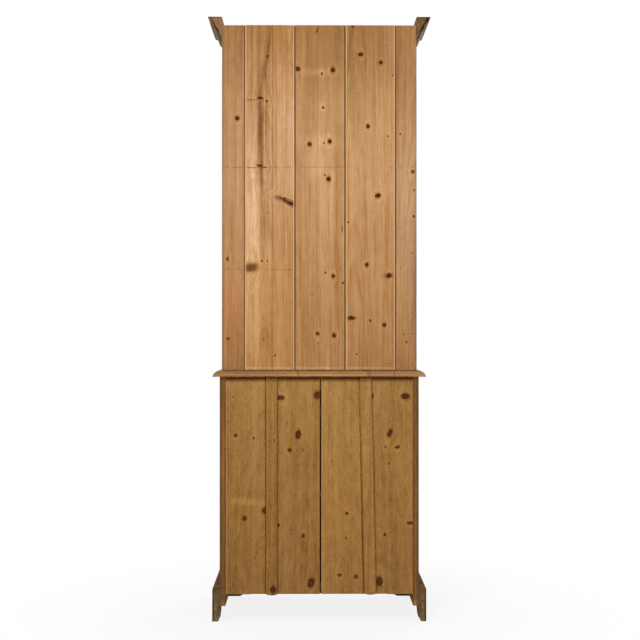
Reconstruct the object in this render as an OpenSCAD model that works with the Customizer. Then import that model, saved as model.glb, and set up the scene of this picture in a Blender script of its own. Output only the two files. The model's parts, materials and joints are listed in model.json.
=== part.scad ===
/* [Overall] */
// Height from the floor to the top of the cornice
total_h = 2100; // [2000:10:2300]
// Height of the worktop's upper face above the floor
worktop_h = 872; // [820:1:940]
// Width across the rack's sides
rack_w = 676; // [640:1:740]
// Depth of the rack, from the wall to the front edges of its sides
rack_d = 236; // [200:1:300]
// Width across the base's sides
base_w = 692; // [660:1:760]
// Depth of the base, from the wall to its front face
base_d = 440; // [420:1:500]

/* [Timber] */
// Thickness of the sides, shelves and floor boards
board_t = 20; // [16:0.5:24]
// Thickness of the stiles, rails and doors
frame_t = 20; // [18:0.5:24]
// Depth of the housings that shelves are let into
housing = 6; // [4:0.5:8]
// Clearance of a piece beside its neighbour on the same carcass
fit = 0.2; // [0.1:0.05:0.4]

/* [Worktop] */
// Thickness of the worktop
worktop_t = 22; // [18:0.5:28]
// Overhang of the worktop past the base at the front and both ends
worktop_over = 24; // [18:0.5:30]
// Overhang of the worktop past the back edges of the base's sides
worktop_back = 12; // [8:0.5:16]
// Width of the shallow thumb moulding on the worktop's edges
thumb_w = 26; // [22:0.5:30]
// Height of the square lip below the thumb moulding
thumb_lip = 4; // [3:0.5:8]

/* [Plinth] */
// Height of the plinth
plinth_h = 124; // [100:1:130]
// Thickness of the plinth boards
plinth_t = 26; // [20:0.5:28]
// Width of the rounded moulding along the plinth's top
plinth_mould_w = 9; // [6:0.5:12]
// Height of the rounded moulding along the plinth's top
plinth_mould_h = 18; // [10:0.5:22]
// Width of each bracket foot at the floor
foot_w = 70; // [50:1:110]
// Length of the ogee curve beside each foot
ogee_w = 62; // [40:1:80]
// Height of the arch between the feet
arch_h = 48; // [30:1:50]
// Height of the lower ends of the base's sides above the floor
side_lift = 54; // [52:1:80]
// Width of the glue blocks behind the front corners
block_w = 42; // [30:1:60]
// Height of the glue blocks' lower ends above the floor
block_lift = 15; // [5:1:30]

/* [Base] */
// Width of the front stiles
stile_w = 45; // [36:0.5:60]
// Height of the rail above the drawers
top_rail_h = 20; // [16:0.5:30]
// Height of the drawer openings
drawer_open_h = 110; // [90:1:130]
// Height of the rail below the drawers
drawer_rail_h = 22; // [18:0.5:30]
// Depth of the rail below the drawers
drawer_rail_d = 60; // [50:1:80]
// Width of the upright between the drawers
divider_w = 22; // [18:0.5:30]
// Height of the cupboard floor's upper face
floor_h = 132; // [126:1:150]
// Height of the cupboard shelf's centre
cupboard_shelf_h = 440; // [380:1:480]
// Distance of the cupboard shelf's front edge behind the base's front face
cupboard_shelf_back = 52; // [48:1:120]
// Height of the rail across the top of the base's back
back_rail_h = 45; // [35:1:60]

/* [Base back] */
// Thickness of the base's back boards
base_plank_t = 14; // [10:0.5:18]
// Distance of the boards' back faces inside the back edges of the sides
base_plank_in = 1; // [0:0.5:4]
// Width of the first board, counted from the side at +X
base_plank_1_w = 160; // [156:0.5:166]
// Width of the second board
base_plank_2_w = 166; // [150:0.5:185]
// Width of the third board
base_plank_3_w = 171.5; // [165:0.5:173]
// Width of the open gap between the second and third boards
middle_gap = 4.5; // [2:0.5:8]
// Width of the joints that the battens cover
covered_gap = 1.5; // [1:0.5:3]
// Height of the boards' lower ends above the floor
base_plank_z = 95; // [90:1:105]
// Width of the battens
batten_w = 39; // [30:0.5:50]
// Thickness of the battens
batten_t = 10; // [8:0.5:12]
// Distance of the leaning batten's middle beyond the joint that it covers
batten_off = 8.5; // [0:0.5:9]
// Angle by which that batten stands out of plumb
batten_lean = 1.25; // [0:0.05:1.3]

/* [Rack] */
// Distance of the rack's upper ends below the top of the cornice
rack_drop = 29; // [20:1:35]
// Height of the lower shelf's centre above the worktop
shelf_1_up = 352; // [300:1:400]
// Height of the upper shelf's centre above the worktop
shelf_2_up = 705; // [640:1:760]
// Distance of the shelves' front edges behind the sides' front edges
shelf_in = 8; // [4:0.5:15]
// Distance of the plate groove from the back boards
groove_in = 48; // [40:1:60]
// Radius of the plate groove
groove_r = 4; // [3:0.5:5]
// Height of the rail along the foot of the rack's back
foot_rail_h = 45; // [35:1:60]
// Height of the frieze board below the rack's top
frieze_h = 112; // [90:1:130]
// Rise of the frieze's lower edge in its middle
frieze_rise = 26; // [15:1:32]
// Length of the straight stretch at each end of that edge
frieze_end = 30; // [10:1:60]
// Length of the curve that follows it
frieze_ogee = 80; // [50:1:120]

/* [Rack back] */
// Width of the first narrow board, at the side at +X
strip_w = 78; // [70:0.5:90]
// Width of the three wide back boards
plank_w = 172.6; // [165:0.1:175]
// Thickness of the wide back boards
plank_t = 16; // [14:0.5:18]
// Distance by which the narrow outer boards lie below the wide ones
strip_down = 2; // [1:0.5:3]
// Width of the joints between the boards' faces
plank_gap = 1.8; // [1.2:0.1:3]
// Distance of the boards' lower ends above the worktop
plank_up = 1.5; // [0.5:0.5:4]
// Chamfer along the back edges of the boards
plank_chamfer = 1.6; // [0.8:0.1:2]
// Length of the boards' tongues
tongue_l = 7; // [5:0.5:8]
// Thickness of the boards' tongues
tongue_t = 4.5; // [3.5:0.1:5]

/* [Cornice] */
// Height of the cornice
cornice_h = 76; // [64:1:90]
// Projection of the cornice past the rack
cornice_out = 48; // [40:1:54]

/* [Doors] */
// Gap beside, above and below each door
door_gap = 1.5; // [1:0.1:2]
// Gap between the two doors
meet_gap = 2.4; // [2:0.1:3]
// Width of the doors' stiles
door_stile_w = 54; // [50:0.5:64]
// Height of the doors' top rails
door_top_h = 56; // [50:1:70]
// Height of the doors' bottom rails
door_bottom_h = 76; // [60:1:90]
// Length of the rails' tenons
tenon_l = 32; // [20:0.5:36]
// Thickness of the tenons and width of the panel grooves
tenon_t = 7; // [6:0.1:8]
// Depth of the panel grooves
panel_groove = 9; // [8:0.5:11]
// Thickness of the raised field of the panels
panel_t = 12.5; // [11:0.5:13.5]
// Width of the bevel round the raised field
bevel_w = 34; // [25:1:45]

/* [Drawers] */
// Gap round each drawer front
drawer_gap = 1.5; // [1:0.1:2.5]
// Space between the drawers' backs and the back boards
drawer_room = 41; // [25:1:90]
// Thickness of the drawers' sides and backs
drawer_side_t = 12; // [10:0.5:14]
// Height of the drawers' sides
drawer_side_h = 100; // [84:1:106]
// Distance of the drawer backs' upper edges below those of the sides
drawer_back_drop = 14; // [5:1:20]
// Thickness of the drawer bottoms
drawer_bottom_t = 7; // [6:0.5:8]
// Depth of the groove that holds the drawer bottom
bottom_groove = 5; // [4:0.5:6]
// Height of the drawer bottom above the sides' lower edges
bottom_up = 9; // [7:0.5:12]
// Thickness of the drawer front that hides the dovetails
dovetail_lap = 6; // [5:0.5:8]
// Height of each dovetail at its root
tail_root = 16; // [12:0.5:18]
// Widening of each dovetail towards its end, each way
tail_flare = 3; // [2:0.5:4]
// Running clearance beside and below the drawers
drawer_run = 0.5; // [0.3:0.1:0.8]
// Thickness of the runners below the drawers
runner_t = 12; // [10:0.5:16]
// Width of the bearing that each runner gives a drawer side
runner_bearing = 20; // [16:0.5:30]
// Height of the guides beside the drawers
guide_h = 25; // [18:1:40]
// Thickness of the blocks that stop the drawers and doors
stop_t = 10; // [8:0.5:14]
// Height of the stop blocks
stop_h = 7; // [5:0.5:8]
// Length of the stop blocks
stop_l = 60; // [40:1:90]

/* [Knobs] */
// Projection of the turned knobs
knob_out = 30; // [30:0.5:36]
// Radius of the knobs' heads
knob_r = 16; // [13:0.5:20]
// Radius of the dowels that hold the fixed knobs
knob_dowel_r = 5; // [4:0.5:6]
// Length of those dowels
knob_dowel_l = 13; // [10:0.5:15]

/* [Hinges] */
// Height of each hinge
hinge_h = 52; // [44:1:64]
// Distance of each hinge's centre from the door's end
hinge_in = 92; // [70:1:130]
// Thickness of the hinge leaves
leaf_t = 1.6; // [1.2:0.1:2]
// Width of the hinge leaves
leaf_w = 16; // [12:0.5:17]
// Radius of the knuckles
knuckle_r = 3.2; // [2.8:0.1:3.6]
// Radius of the hinge pins
pin_r = 1.5; // [1.2:0.1:1.8]
// Running clearance round the pins and between knuckles
pin_run = 0.1; // [0.05:0.01:0.2]
// Gap between the knuckles and the wood
knuckle_clear = 0.3; // [0.2:0.1:0.6]

/* [Catch and bolt] */
// Height of the catch's spindle above the cupboard floor
catch_up = 316; // [260:1:360]
// Radius of the catch's spindle
spindle_r = 4; // [3:0.5:5]
// Running clearance round the spindle
spindle_run = 0.1; // [0.05:0.01:0.2]
// Gap between the door and the catch's turning parts
catch_gap = 0.5; // [0.3:0.1:1]
// Length of the catch's tongue from its spindle
tongue_reach = 46; // [42:1:50]
// Width of the catch's tongue
tongue_w = 16; // [12:0.5:20]
// Thickness of the catch's tongue
tongue_thick = 10; // [8:0.5:14]
// Radius of the bolt
bolt_r = 4; // [3:0.5:5]
// Length of the bolt
bolt_l = 84; // [80:1:100]
// Travel of the bolt
bolt_travel = 14; // [10:1:15]
// Running clearance round the bolt
bolt_run = 0.3; // [0.1:0.05:0.4]
// Thickness of the bolt's plate
bolt_plate_t = 1.6; // [1.2:0.1:2]
// Height of each staple that holds the bolt
staple_h = 8; // [6:0.5:10]

/* [Hidden] */
$fn = 48;

LEFT = -1;
RIGHT = 1;
pine = [0.72, 0.50, 0.29];
pine_dark = [0.62, 0.42, 0.23];
pine_pale = [0.82, 0.62, 0.40];
brass = [0.70, 0.56, 0.30];
iron = [0.30, 0.29, 0.28];
eps = 0.01;

// Depths are measured from the wall plane towards the front
wall_y = (base_d + max(knob_out + catch_gap, worktop_over)) / 2;
worktop_under = worktop_h - worktop_t;
side_back = worktop_back;
plank_back = worktop_back + base_plank_in;
plank_front = plank_back + base_plank_t;
side_front = base_d - frame_t;
side_in = base_w / 2 - board_t;

opening_x = base_w / 2 - stile_w;
drawer_top = worktop_under - top_rail_h;
drawer_bed = drawer_top - drawer_open_h;
door_top_edge = drawer_bed - drawer_rail_h;
floor_under = floor_h - board_t;
shelf_z = [cupboard_shelf_h - board_t / 2, cupboard_shelf_h + board_t / 2];

// The right-hand door, drawer and hinge; the left-hand ones mirror them
door_x = [meet_gap / 2, opening_x - door_gap];
door_z = [floor_h + door_gap, door_top_edge - door_gap];
door_d = [base_d - frame_t, base_d];
panel_x = [door_x[0] + door_stile_w, door_x[1] - door_stile_w];
panel_z = [door_z[0] + door_bottom_h, door_z[1] - door_top_h];
groove_d = [base_d - (frame_t + tenon_t) / 2, base_d - (frame_t - tenon_t) / 2];
drawer_x = [divider_w / 2 + drawer_gap, opening_x - drawer_gap];
drawer_z = drawer_bed + drawer_run;
bottom_z = [drawer_z + bottom_up, drawer_z + bottom_up + drawer_bottom_t];
drawer_end = plank_front + drawer_room;
drawer_back_z = drawer_z + drawer_side_h - drawer_back_drop;

pin_x = opening_x - door_gap / 2;
pin_d = base_d + knuckle_r + knuckle_clear;
knuckle_h = hinge_h / 3;
hinge_zs = [door_z[0] + hinge_in, door_z[1] - hinge_in];

catch_x = meet_gap / 2 + door_stile_w / 2;
catch_z = floor_h + catch_up;
bolt_x = -catch_x;
staple_w = 2 * bolt_r + 9;
bolt_d = door_d[0] - bolt_plate_t - bolt_r - bolt_run - 0.7;
bolt_top = door_z[1] - 2;
bolt_plate_z = [bolt_top - 78, bolt_top - 6];
staple_zs = [bolt_plate_z[0] + 6, bolt_plate_z[1] - 6 - staple_h];
bolt_finger_r = 3;

rack_top_z = total_h - rack_drop;
rack_in = rack_w / 2 - board_t;
// Edges of the back boards, from +X to -X
strip_x = rack_w / 2 - strip_w;
plank_edges = [for (i = [0 : 2]) strip_x - plank_gap - i * (plank_w + plank_gap)];
rack_planks = concat(
    [[strip_x, rack_w / 2]],
    [for (x = plank_edges) [x - plank_w, x]],
    [[-rack_w / 2, plank_edges[2] - plank_w - plank_gap]]
);
base_edge_1 = side_in - fit;
base_edge_2 = base_edge_1 - base_plank_1_w - covered_gap;
base_edge_3 = base_edge_2 - base_plank_2_w - middle_gap;
base_edge_4 = base_edge_3 - base_plank_3_w - covered_gap;
base_planks = [
    [base_edge_1 - base_plank_1_w, base_edge_1],
    [base_edge_2 - base_plank_2_w, base_edge_2],
    [base_edge_3 - base_plank_3_w, base_edge_3],
    [-side_in + fit, base_edge_4]
];
batten_1_x = base_edge_2 + covered_gap / 2;
batten_2_x = base_edge_4 + covered_gap / 2 + batten_off;

// Points round an ellipse quarter or arc, from angle a0 to a1
function arc(cx, cy, rx, ry, a0, a1, n = 10) =
    [for (i = [0 : n]) let (a = a0 + (a1 - a0) * i / n) [cx + rx * cos(a), cy + ry * sin(a)]];

// An S-shaped rise from (x, z) over a width w and a height h
function ogee(x, z, w, h, n = 12) =
    [for (i = [0 : n]) [x + w * i / n, z + h * (1 - cos(180 * i / n)) / 2]];

module handed(hand) {
    mirror([hand < 0 ? 1 : 0, 0, 0]) children();
}

// A board that fills spans of width, depth from the wall, and height
module board(x, d, z) {
    translate([x[0], -d[1], z[0]]) cube([x[1] - x[0], d[1] - d[0], z[1] - z[0]]);
}

// An outline of (x, z) points, given the depths that it fills
module front_on(d) {
    translate([0, -d[0], 0]) rotate([90, 0, 0]) linear_extrude(d[1] - d[0]) children();
}

// An outline of (-depth, z) points, given the widths that it fills
module side_on(x) {
    translate([x[0], 0, 0]) rotate([90, 0, 90]) linear_extrude(x[1] - x[0]) children();
}

// A plan of (x, -depth) points, given the heights that it fills
module plan(z) {
    translate([0, 0, z[0]]) linear_extrude(z[1] - z[0]) children();
}

// A round bar along the depth, centred on (x, z)
module depth_rod(x, z, r, d) {
    translate([x, -d[0], z]) rotate([90, 0, 0]) cylinder(r = r, h = d[1] - d[0]);
}

// A round bar along the height, centred on (x, depth)
module upright_rod(x, d, r, z) {
    translate([x, -d, z[0]]) cylinder(r = r, h = z[1] - z[0]);
}

module base_side(hand) {
    color(pine_dark) difference() {
        handed(hand) board([side_in, base_w / 2], [side_back, side_front], [side_lift, worktop_under]);
        floor_solid();
        shelf_solid();
    }
}

module floor_solid() {
    difference() {
        board([-side_in - housing, side_in + housing], [plank_front, base_d], [floor_under, floor_h]);
        for (hand = [LEFT, RIGHT])
            handed(hand) board([opening_x, base_w / 2], [side_front, base_d + 1],
                [floor_under - 1, floor_h + 1]);
    }
}

module base_floor() {
    color(pine_pale) floor_solid();
}

module shelf_solid() {
    board([-side_in - housing, side_in + housing], [plank_front, base_d - cupboard_shelf_back], shelf_z);
}

module cupboard_shelf() {
    color(pine_pale) shelf_solid();
}

module back_rail() {
    color(pine_pale) board([-side_in, side_in], [plank_front, plank_front + board_t],
        [worktop_under - back_rail_h, worktop_under]);
}

// The worktop's edge: a square lip, and a shallow round that meets the upper face level
function worktop_edge(reach) =
    let (
        rise = worktop_t - thumb_lip,
        r = (thumb_w * thumb_w + rise * rise) / (2 * rise),
        low = atan2(r - rise, thumb_w)
    )
    concat([[reach, worktop_under]], arc(reach - thumb_w, worktop_h - r, r, r, low, 90));

module worktop() {
    half = base_w / 2 + worktop_over;
    edge = worktop_edge(half);
    front = worktop_edge(base_d + worktop_over);
    color(pine) intersection() {
        front_on([0, base_d + worktop_over + 1])
            polygon(concat(edge, [for (i = [len(edge) - 1 : -1 : 0]) [-edge[i][0], edge[i][1]]]));
        side_on([-half - 1, half + 1])
            polygon(concat([for (p = front) [-p[0], p[1]]], [[0, worktop_h], [0, worktop_under]]));
    }
}

module front_stile(hand) {
    color(pine) difference() {
        handed(hand) board([opening_x, base_w / 2], [side_front, base_d], [side_lift, worktop_under]);
        handed(hand) for (z = hinge_zs) leaf_plate(-1, z, 0);
    }
}

module top_rail() {
    color(pine) board([-opening_x, opening_x], [side_front, base_d], [drawer_top, worktop_under]);
}

module drawer_rail() {
    rail_z = [door_top_edge, drawer_bed];
    color(pine) difference() {
        union() {
            board([-opening_x, opening_x], [side_front - eps, base_d], rail_z);
            board([-side_in, side_in], [base_d - drawer_rail_d, side_front], rail_z);
        }
        upright_rod(bolt_x, bolt_d, bolt_r + bolt_run + 0.3,
            [door_top_edge - 1, door_top_edge + bolt_travel + 4]);
    }
}

module drawer_divider() {
    color(pine) board([-divider_w / 2, divider_w / 2], [side_front, base_d], [drawer_bed, drawer_top]);
}

// Runners carry the drawers' sides, and guides keep them straight
module drawer_runners() {
    run_d = [plank_front, base_d - drawer_rail_d];
    guide_d = [plank_front, side_front];
    run_z = [drawer_bed - runner_t, drawer_bed];
    guide_z = [drawer_bed, drawer_bed + guide_h];
    middle = divider_w / 2 + drawer_gap - drawer_run;
    color(pine_pale) {
        for (hand = [LEFT, RIGHT]) handed(hand) {
            board([drawer_x[1] - runner_bearing, side_in], run_d, run_z);
            board([drawer_x[1] + drawer_run, side_in], guide_d, guide_z);
        }
        board([-middle - runner_bearing, middle + runner_bearing], run_d, run_z);
        board([-middle, middle], guide_d, guide_z);
    }
}

// Small blocks stop the drawers' fronts and the doors at the face of the base
module stop_blocks() {
    drawer_stop_x = drawer_x[0] + drawer_side_t + stop_l;
    door_stop_x = catch_x + staple_w + stop_l;
    stop_d = [side_front - catch_gap - stop_t, side_front - catch_gap];
    color(pine_pale) for (hand = [LEFT, RIGHT]) handed(hand) {
        for (x = [drawer_stop_x, drawer_x[1] + drawer_x[0] - drawer_stop_x])
            board([x - stop_l / 2, x + stop_l / 2], stop_d, [drawer_bed, drawer_bed + stop_h]);
        board([door_stop_x, door_stop_x + stop_l], stop_d, [door_top_edge - stop_h, door_top_edge]);
    }
}

module base_back_board(i) {
    color(i % 2 == 0 ? pine : pine_pale)
        board(base_planks[i], [plank_back, plank_front], [base_plank_z, worktop_under]);
}

// A batten's outline, with a rounded lower end just below the boards'
module batten_outline() {
    low = base_plank_z - 3;
    polygon(concat(
        arc(0, low + 5, batten_w / 2, 5, 180, 360),
        [[batten_w / 2, worktop_under], [-batten_w / 2, worktop_under]]
    ));
}

// A batten with eased outer edges
module batten_solid() {
    ease = batten_t / 4;
    half = batten_w / 2;
    intersection() {
        front_on([plank_back - batten_t, plank_back]) batten_outline();
        plan([0, worktop_h]) polygon([
            [-half, -plank_back],
            [-half, -plank_back + batten_t - ease],
            [-half + ease, -plank_back + batten_t],
            [half - ease, -plank_back + batten_t],
            [half, -plank_back + batten_t - ease],
            [half, -plank_back]
        ]);
    }
}

module back_battens() {
    middle_z = (base_plank_z + worktop_under) / 2;
    color(pine) {
        translate([batten_1_x, 0, 0]) batten_solid();
        intersection() {
            translate([batten_2_x, 0, middle_z]) rotate([0, batten_lean, 0])
                translate([0, 0, 2 - middle_z]) batten_solid();
            board([-side_in, 0], [0, plank_back], [0, worktop_under]);
        }
    }
}

function plinth_section() = concat(
    [[0, 0], [plinth_t, 0]],
    arc(plinth_t - plinth_mould_w, plinth_h - plinth_mould_h, plinth_mould_w, plinth_mould_h, 0, 90),
    [[0, plinth_h]]
);

// The gap below a plinth board, between two feet
module arch(low, high) {
    polygon(concat(
        [[low, -1]],
        ogee(low, 0, ogee_w, arch_h),
        [for (p = ogee(0, 0, ogee_w, arch_h)) [high - ogee_w + p[0], arch_h - p[1]]],
        [[high, -1]]
    ));
}

module plinth_front() {
    half = base_w / 2;
    foot = half + plinth_t - foot_w;
    color(pine_dark) difference() {
        intersection() {
            side_on([-half - plinth_t - 1, half + plinth_t + 1])
                polygon([for (p = plinth_section()) [-base_d - p[0], p[1]]]);
            plan([-1, plinth_h + 1]) polygon([
                [-half, -base_d], [half, -base_d],
                [half + plinth_t, -base_d - plinth_t], [-half - plinth_t, -base_d - plinth_t]
            ]);
        }
        front_on([base_d - 1, base_d + plinth_t + 1]) arch(-foot, foot);
    }
}

module plinth_side(hand) {
    half = base_w / 2;
    color(pine_dark) handed(hand) difference() {
        intersection() {
            front_on([side_back, base_d + plinth_t])
                polygon([for (p = plinth_section()) [half + p[0], p[1]]]);
            plan([-1, plinth_h + 1]) polygon([
                [half, -side_back], [half + plinth_t, -side_back],
                [half + plinth_t, -base_d - plinth_t], [half, -base_d]
            ]);
        }
        side_on([half - 1, half + plinth_t + 1])
            arch(-(base_d + plinth_t - foot_w), -(side_back + foot_w));
    }
}

module plinth_blocks() {
    color(pine_pale) for (hand = [LEFT, RIGHT]) handed(hand)
        board([opening_x - block_w, opening_x], [base_d - block_w, base_d], [block_lift, floor_under]);
}

// A hinge leaf let into the wood on one side of the pin; out extends it to the knuckle
module leaf_plate(side, z, out) {
    edge = pin_x - side * door_gap / 2;
    translate([0, 0, z - hinge_h / 2])
        board([min(edge, edge - side * leaf_t), max(edge, edge - side * leaf_t)],
            [base_d - leaf_w, base_d + out], [0, hinge_h]);
}

// One hinge leaf with its knuckles; the frame has the outer two and the door the middle one
module hinge_leaf(side, z) {
    low = z - hinge_h / 2;
    edge = pin_x - side * door_gap / 2;
    spans = side < 0
        ? [[low, low + knuckle_h - pin_run], [low + 2 * knuckle_h + pin_run, low + hinge_h]]
        : [[low + knuckle_h + pin_run, low + 2 * knuckle_h - pin_run]];
    difference() {
        union() {
            leaf_plate(side, z, 0);
            for (s = spans) {
                board([min(edge, edge - side * leaf_t), max(edge, edge - side * leaf_t)],
                    [base_d - 1, pin_d], s);
                upright_rod(pin_x, pin_d, knuckle_r, s);
            }
        }
        upright_rod(pin_x, pin_d, pin_r + pin_run, [low - 1, low + hinge_h + 1]);
    }
}

module frame_hinge_leaves() {
    color(brass) for (hand = [LEFT, RIGHT], z = hinge_zs) handed(hand) hinge_leaf(-1, z);
}

module door_hinge_leaves(hand) {
    color(brass) for (z = hinge_zs) handed(hand) hinge_leaf(1, z);
}

// Each pin has a small head at both ends
module hinge_pins() {
    head_h = 1.6;
    color(brass) for (hand = [LEFT, RIGHT], z = hinge_zs) handed(hand)
        translate([pin_x, -pin_d, z - hinge_h / 2]) {
            cylinder(r = pin_r, h = hinge_h);
            translate([0, 0, -head_h]) cylinder(r = pin_r + 1, h = head_h);
            translate([0, 0, hinge_h]) cylinder(r = pin_r + 1, h = head_h);
        }
}

// The rails' tenons, which are also the stiles' mortises
module tenons() {
    spans = [
        [door_z[0] + 12, panel_z[0] - panel_groove - 4],
        [panel_z[1] + panel_groove + 4, door_z[1] - 12]
    ];
    for (z = spans) board([panel_x[0] - tenon_l, panel_x[1] + tenon_l], groove_d, z);
}

// The space that a panel takes, with its groove all round
module panel_space() {
    board([panel_x[0] - panel_groove, panel_x[1] + panel_groove], groove_d,
        [panel_z[0] - panel_groove, panel_z[1] + panel_groove]);
}

module door_stiles() {
    difference() {
        union() {
            board([door_x[0], panel_x[0]], door_d, door_z);
            board([panel_x[1], door_x[1]], door_d, door_z);
        }
        tenons();
        panel_space();
    }
}

module door_rails() {
    for (z = [[door_z[0], panel_z[0]], [panel_z[1], door_z[1]]]) difference() {
        union() {
            board(panel_x, door_d, z);
            intersection() {
                tenons();
                board([0, base_w], door_d, z);
            }
        }
        panel_space();
    }
}

module door_frame(hand) {
    color(pine) difference() {
        handed(hand) {
            door_stiles();
            door_rails();
        }
        handed(hand) for (z = hinge_zs) leaf_plate(1, z, 0);
        if (hand == RIGHT) {
            depth_rod(catch_x, catch_z, spindle_r + spindle_run, [door_d[0] - 1, door_d[1] + 1]);
        } else {
            depth_rod(-catch_x, catch_z, knob_dowel_r, [door_d[1] - knob_dowel_l, door_d[1] + 1]);
        }
    }
}

// Half of a fielded panel's section, from its edge to its middle
function field_edge(edge) = [
    [edge, groove_d[0] + fit], [edge, groove_d[1] - fit],
    [edge + panel_groove, groove_d[1] - fit],
    [edge + panel_groove + bevel_w, groove_d[0] + panel_t - 1.5],
    [edge + panel_groove + bevel_w, groove_d[0] + panel_t]
];

function field_section(low, high) = concat(
    [for (p = field_edge(0)) [low + p[0], p[1]]],
    [for (i = [len(field_edge(0)) - 1 : -1 : 0]) [high - field_edge(0)[i][0], field_edge(0)[i][1]]]
);

module door_panel(hand) {
    grip = panel_groove - 1;
    x = [panel_x[0] - grip, panel_x[1] + grip];
    z = [panel_z[0] - grip, panel_z[1] + grip];
    color(pine_pale) handed(hand) intersection() {
        plan([z[0], z[1]]) polygon([for (p = field_section(x[0], x[1])) [p[0], -p[1]]]);
        side_on([x[0], x[1]]) polygon([for (p = field_section(z[0], z[1])) [-p[1], p[0]]]);
    }
}

// A turned knob that stands on the face at depth d, on a dowel of radius r and length l
module knob(x, z, d, r, l) {
    head_z = knob_out - 12;
    translate([x, -d, z]) rotate([90, 0, 0]) rotate_extrude() polygon(concat(
        [[0, -l], [r, -l], [r, 0], [10, 0], [10, 2.5], [7.5, 4.5]],
        arc(0, head_z, knob_r, 12, -52, 90, 16)
    ));
}

module fixed_knob(x, z) {
    color(pine_dark) knob(x, z, base_d, knob_dowel_r - fit / 2, knob_dowel_l - 1);
}

// The catch knob's spindle runs through the door and into the tongue
module catch_knob() {
    reach = frame_t + 2 * catch_gap + tongue_thick;
    color(pine_dark) knob(catch_x, catch_z, base_d + catch_gap, spindle_r, reach);
}

module catch_tongue() {
    tongue_d = [door_d[0] - catch_gap - tongue_thick, door_d[0] - catch_gap];
    color(pine) difference() {
        front_on(tongue_d) {
            translate([catch_x, catch_z]) circle(r = tongue_w / 2 + 1);
            translate([catch_x - tongue_w / 2, catch_z - tongue_reach])
                square([tongue_w, tongue_reach]);
        }
        depth_rod(catch_x, catch_z, spindle_r + 0.05, [tongue_d[0] - 1, tongue_d[1] + 1]);
    }
}

// A plate on the door's back face, with two staples that the bolt slides through
module bolt_plate() {
    staple_d = [bolt_d - bolt_r - 2.5, door_d[0] - bolt_plate_t + eps];
    color(iron) difference() {
        union() {
            board([bolt_x - staple_w / 2 - 3, bolt_x + staple_w / 2 + 3],
                [door_d[0] - bolt_plate_t, door_d[0]], bolt_plate_z);
            for (z = staple_zs)
                board([bolt_x - staple_w / 2, bolt_x + staple_w / 2], staple_d, [z, z + staple_h]);
        }
        upright_rod(bolt_x, bolt_d, bolt_r + bolt_run / 2, [bolt_plate_z[0] - 1, bolt_plate_z[1] + 1]);
    }
}

module bolt_rod() {
    finger_z = staple_zs[0] + staple_h + bolt_finger_r + bolt_run;
    color(iron) {
        upright_rod(bolt_x, bolt_d, bolt_r, [bolt_top - bolt_l, bolt_top]);
        depth_rod(bolt_x, finger_z, bolt_finger_r, [bolt_d - bolt_r - 11, bolt_d]);
    }
}

// Tails on one end of a drawer side, from the shoulder's depth, root, to the depth, end
module tails(root, end, count, high) {
    pitch = (high - bottom_z[1]) / count;
    for (i = [0 : count - 1]) {
        middle = bottom_z[1] + pitch * (i + 0.5);
        polygon([
            [-root, middle - tail_root / 2], [-end, middle - tail_root / 2 - tail_flare],
            [-end, middle + tail_root / 2 + tail_flare], [-root, middle + tail_root / 2]
        ]);
    }
}

module drawer_side_outline() {
    front_shoulder = base_d - frame_t;
    back_shoulder = drawer_end + drawer_side_t;
    polygon([
        [-front_shoulder, drawer_z], [-front_shoulder, drawer_z + drawer_side_h],
        [-back_shoulder, drawer_z + drawer_side_h], [-back_shoulder, bottom_z[1]],
        [-drawer_end, bottom_z[1]], [-drawer_end, drawer_z]
    ]);
    tails(front_shoulder, base_d - dovetail_lap, 3, drawer_z + drawer_side_h);
    tails(back_shoulder, drawer_end, 2, drawer_back_z);
}

module drawer_side_pair() {
    side_on([drawer_x[0], drawer_x[0] + drawer_side_t]) drawer_side_outline();
    side_on([drawer_x[1] - drawer_side_t, drawer_x[1]]) drawer_side_outline();
}

module drawer_bottom_solid() {
    board([drawer_x[0] + drawer_side_t - bottom_groove, drawer_x[1] - drawer_side_t + bottom_groove],
        [drawer_end, base_d - frame_t + bottom_groove], bottom_z);
}

module drawer_sides(hand) {
    color(pine_pale) handed(hand) difference() {
        drawer_side_pair();
        drawer_bottom_solid();
    }
}

module drawer_front(hand) {
    middle = (drawer_x[0] + drawer_x[1]) / 2;
    z = [drawer_bed + drawer_gap, drawer_top - drawer_gap];
    color(pine) handed(hand) difference() {
        board(drawer_x, [base_d - frame_t, base_d], z);
        drawer_side_pair();
        drawer_bottom_solid();
        depth_rod(middle, (z[0] + z[1]) / 2, knob_dowel_r, [base_d - knob_dowel_l, base_d + 1]);
    }
}

module drawer_back(hand) {
    color(pine_pale) handed(hand) difference() {
        board(drawer_x, [drawer_end, drawer_end + drawer_side_t],
            [bottom_z[1], drawer_back_z]);
        drawer_side_pair();
    }
}

module drawer_bottom(hand) {
    color(pine_pale) handed(hand) drawer_bottom_solid();
}

module drawer_knob(hand) {
    handed(hand) fixed_knob((drawer_x[0] + drawer_x[1]) / 2, (drawer_bed + drawer_top) / 2);
}

// A rack shelf with a nosed front edge and a groove that plates stand in
module rack_shelf_solid(up) {
    z = worktop_h + up;
    nose = board_t / 2;
    front = rack_d - shelf_in;
    difference() {
        side_on([-rack_in - housing, rack_in + housing]) polygon(concat(
            [[-plank_t, z - nose], [-plank_t, z + nose]],
            arc(-front + 5, z, 5, nose, 90, 270)
        ));
        translate([-rack_in, -plank_t - groove_in, z + nose]) rotate([0, 90, 0])
            cylinder(r = groove_r, h = 2 * rack_in);
    }
}

module rack_shelf(up) {
    color(pine_pale) rack_shelf_solid(up);
}

module rack_top_solid() {
    board([-rack_in - housing, rack_in + housing], [plank_t, rack_d - frame_t],
        [rack_top_z - board_t, rack_top_z]);
}

module rack_top() {
    color(pine_pale) rack_top_solid();
}

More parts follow.
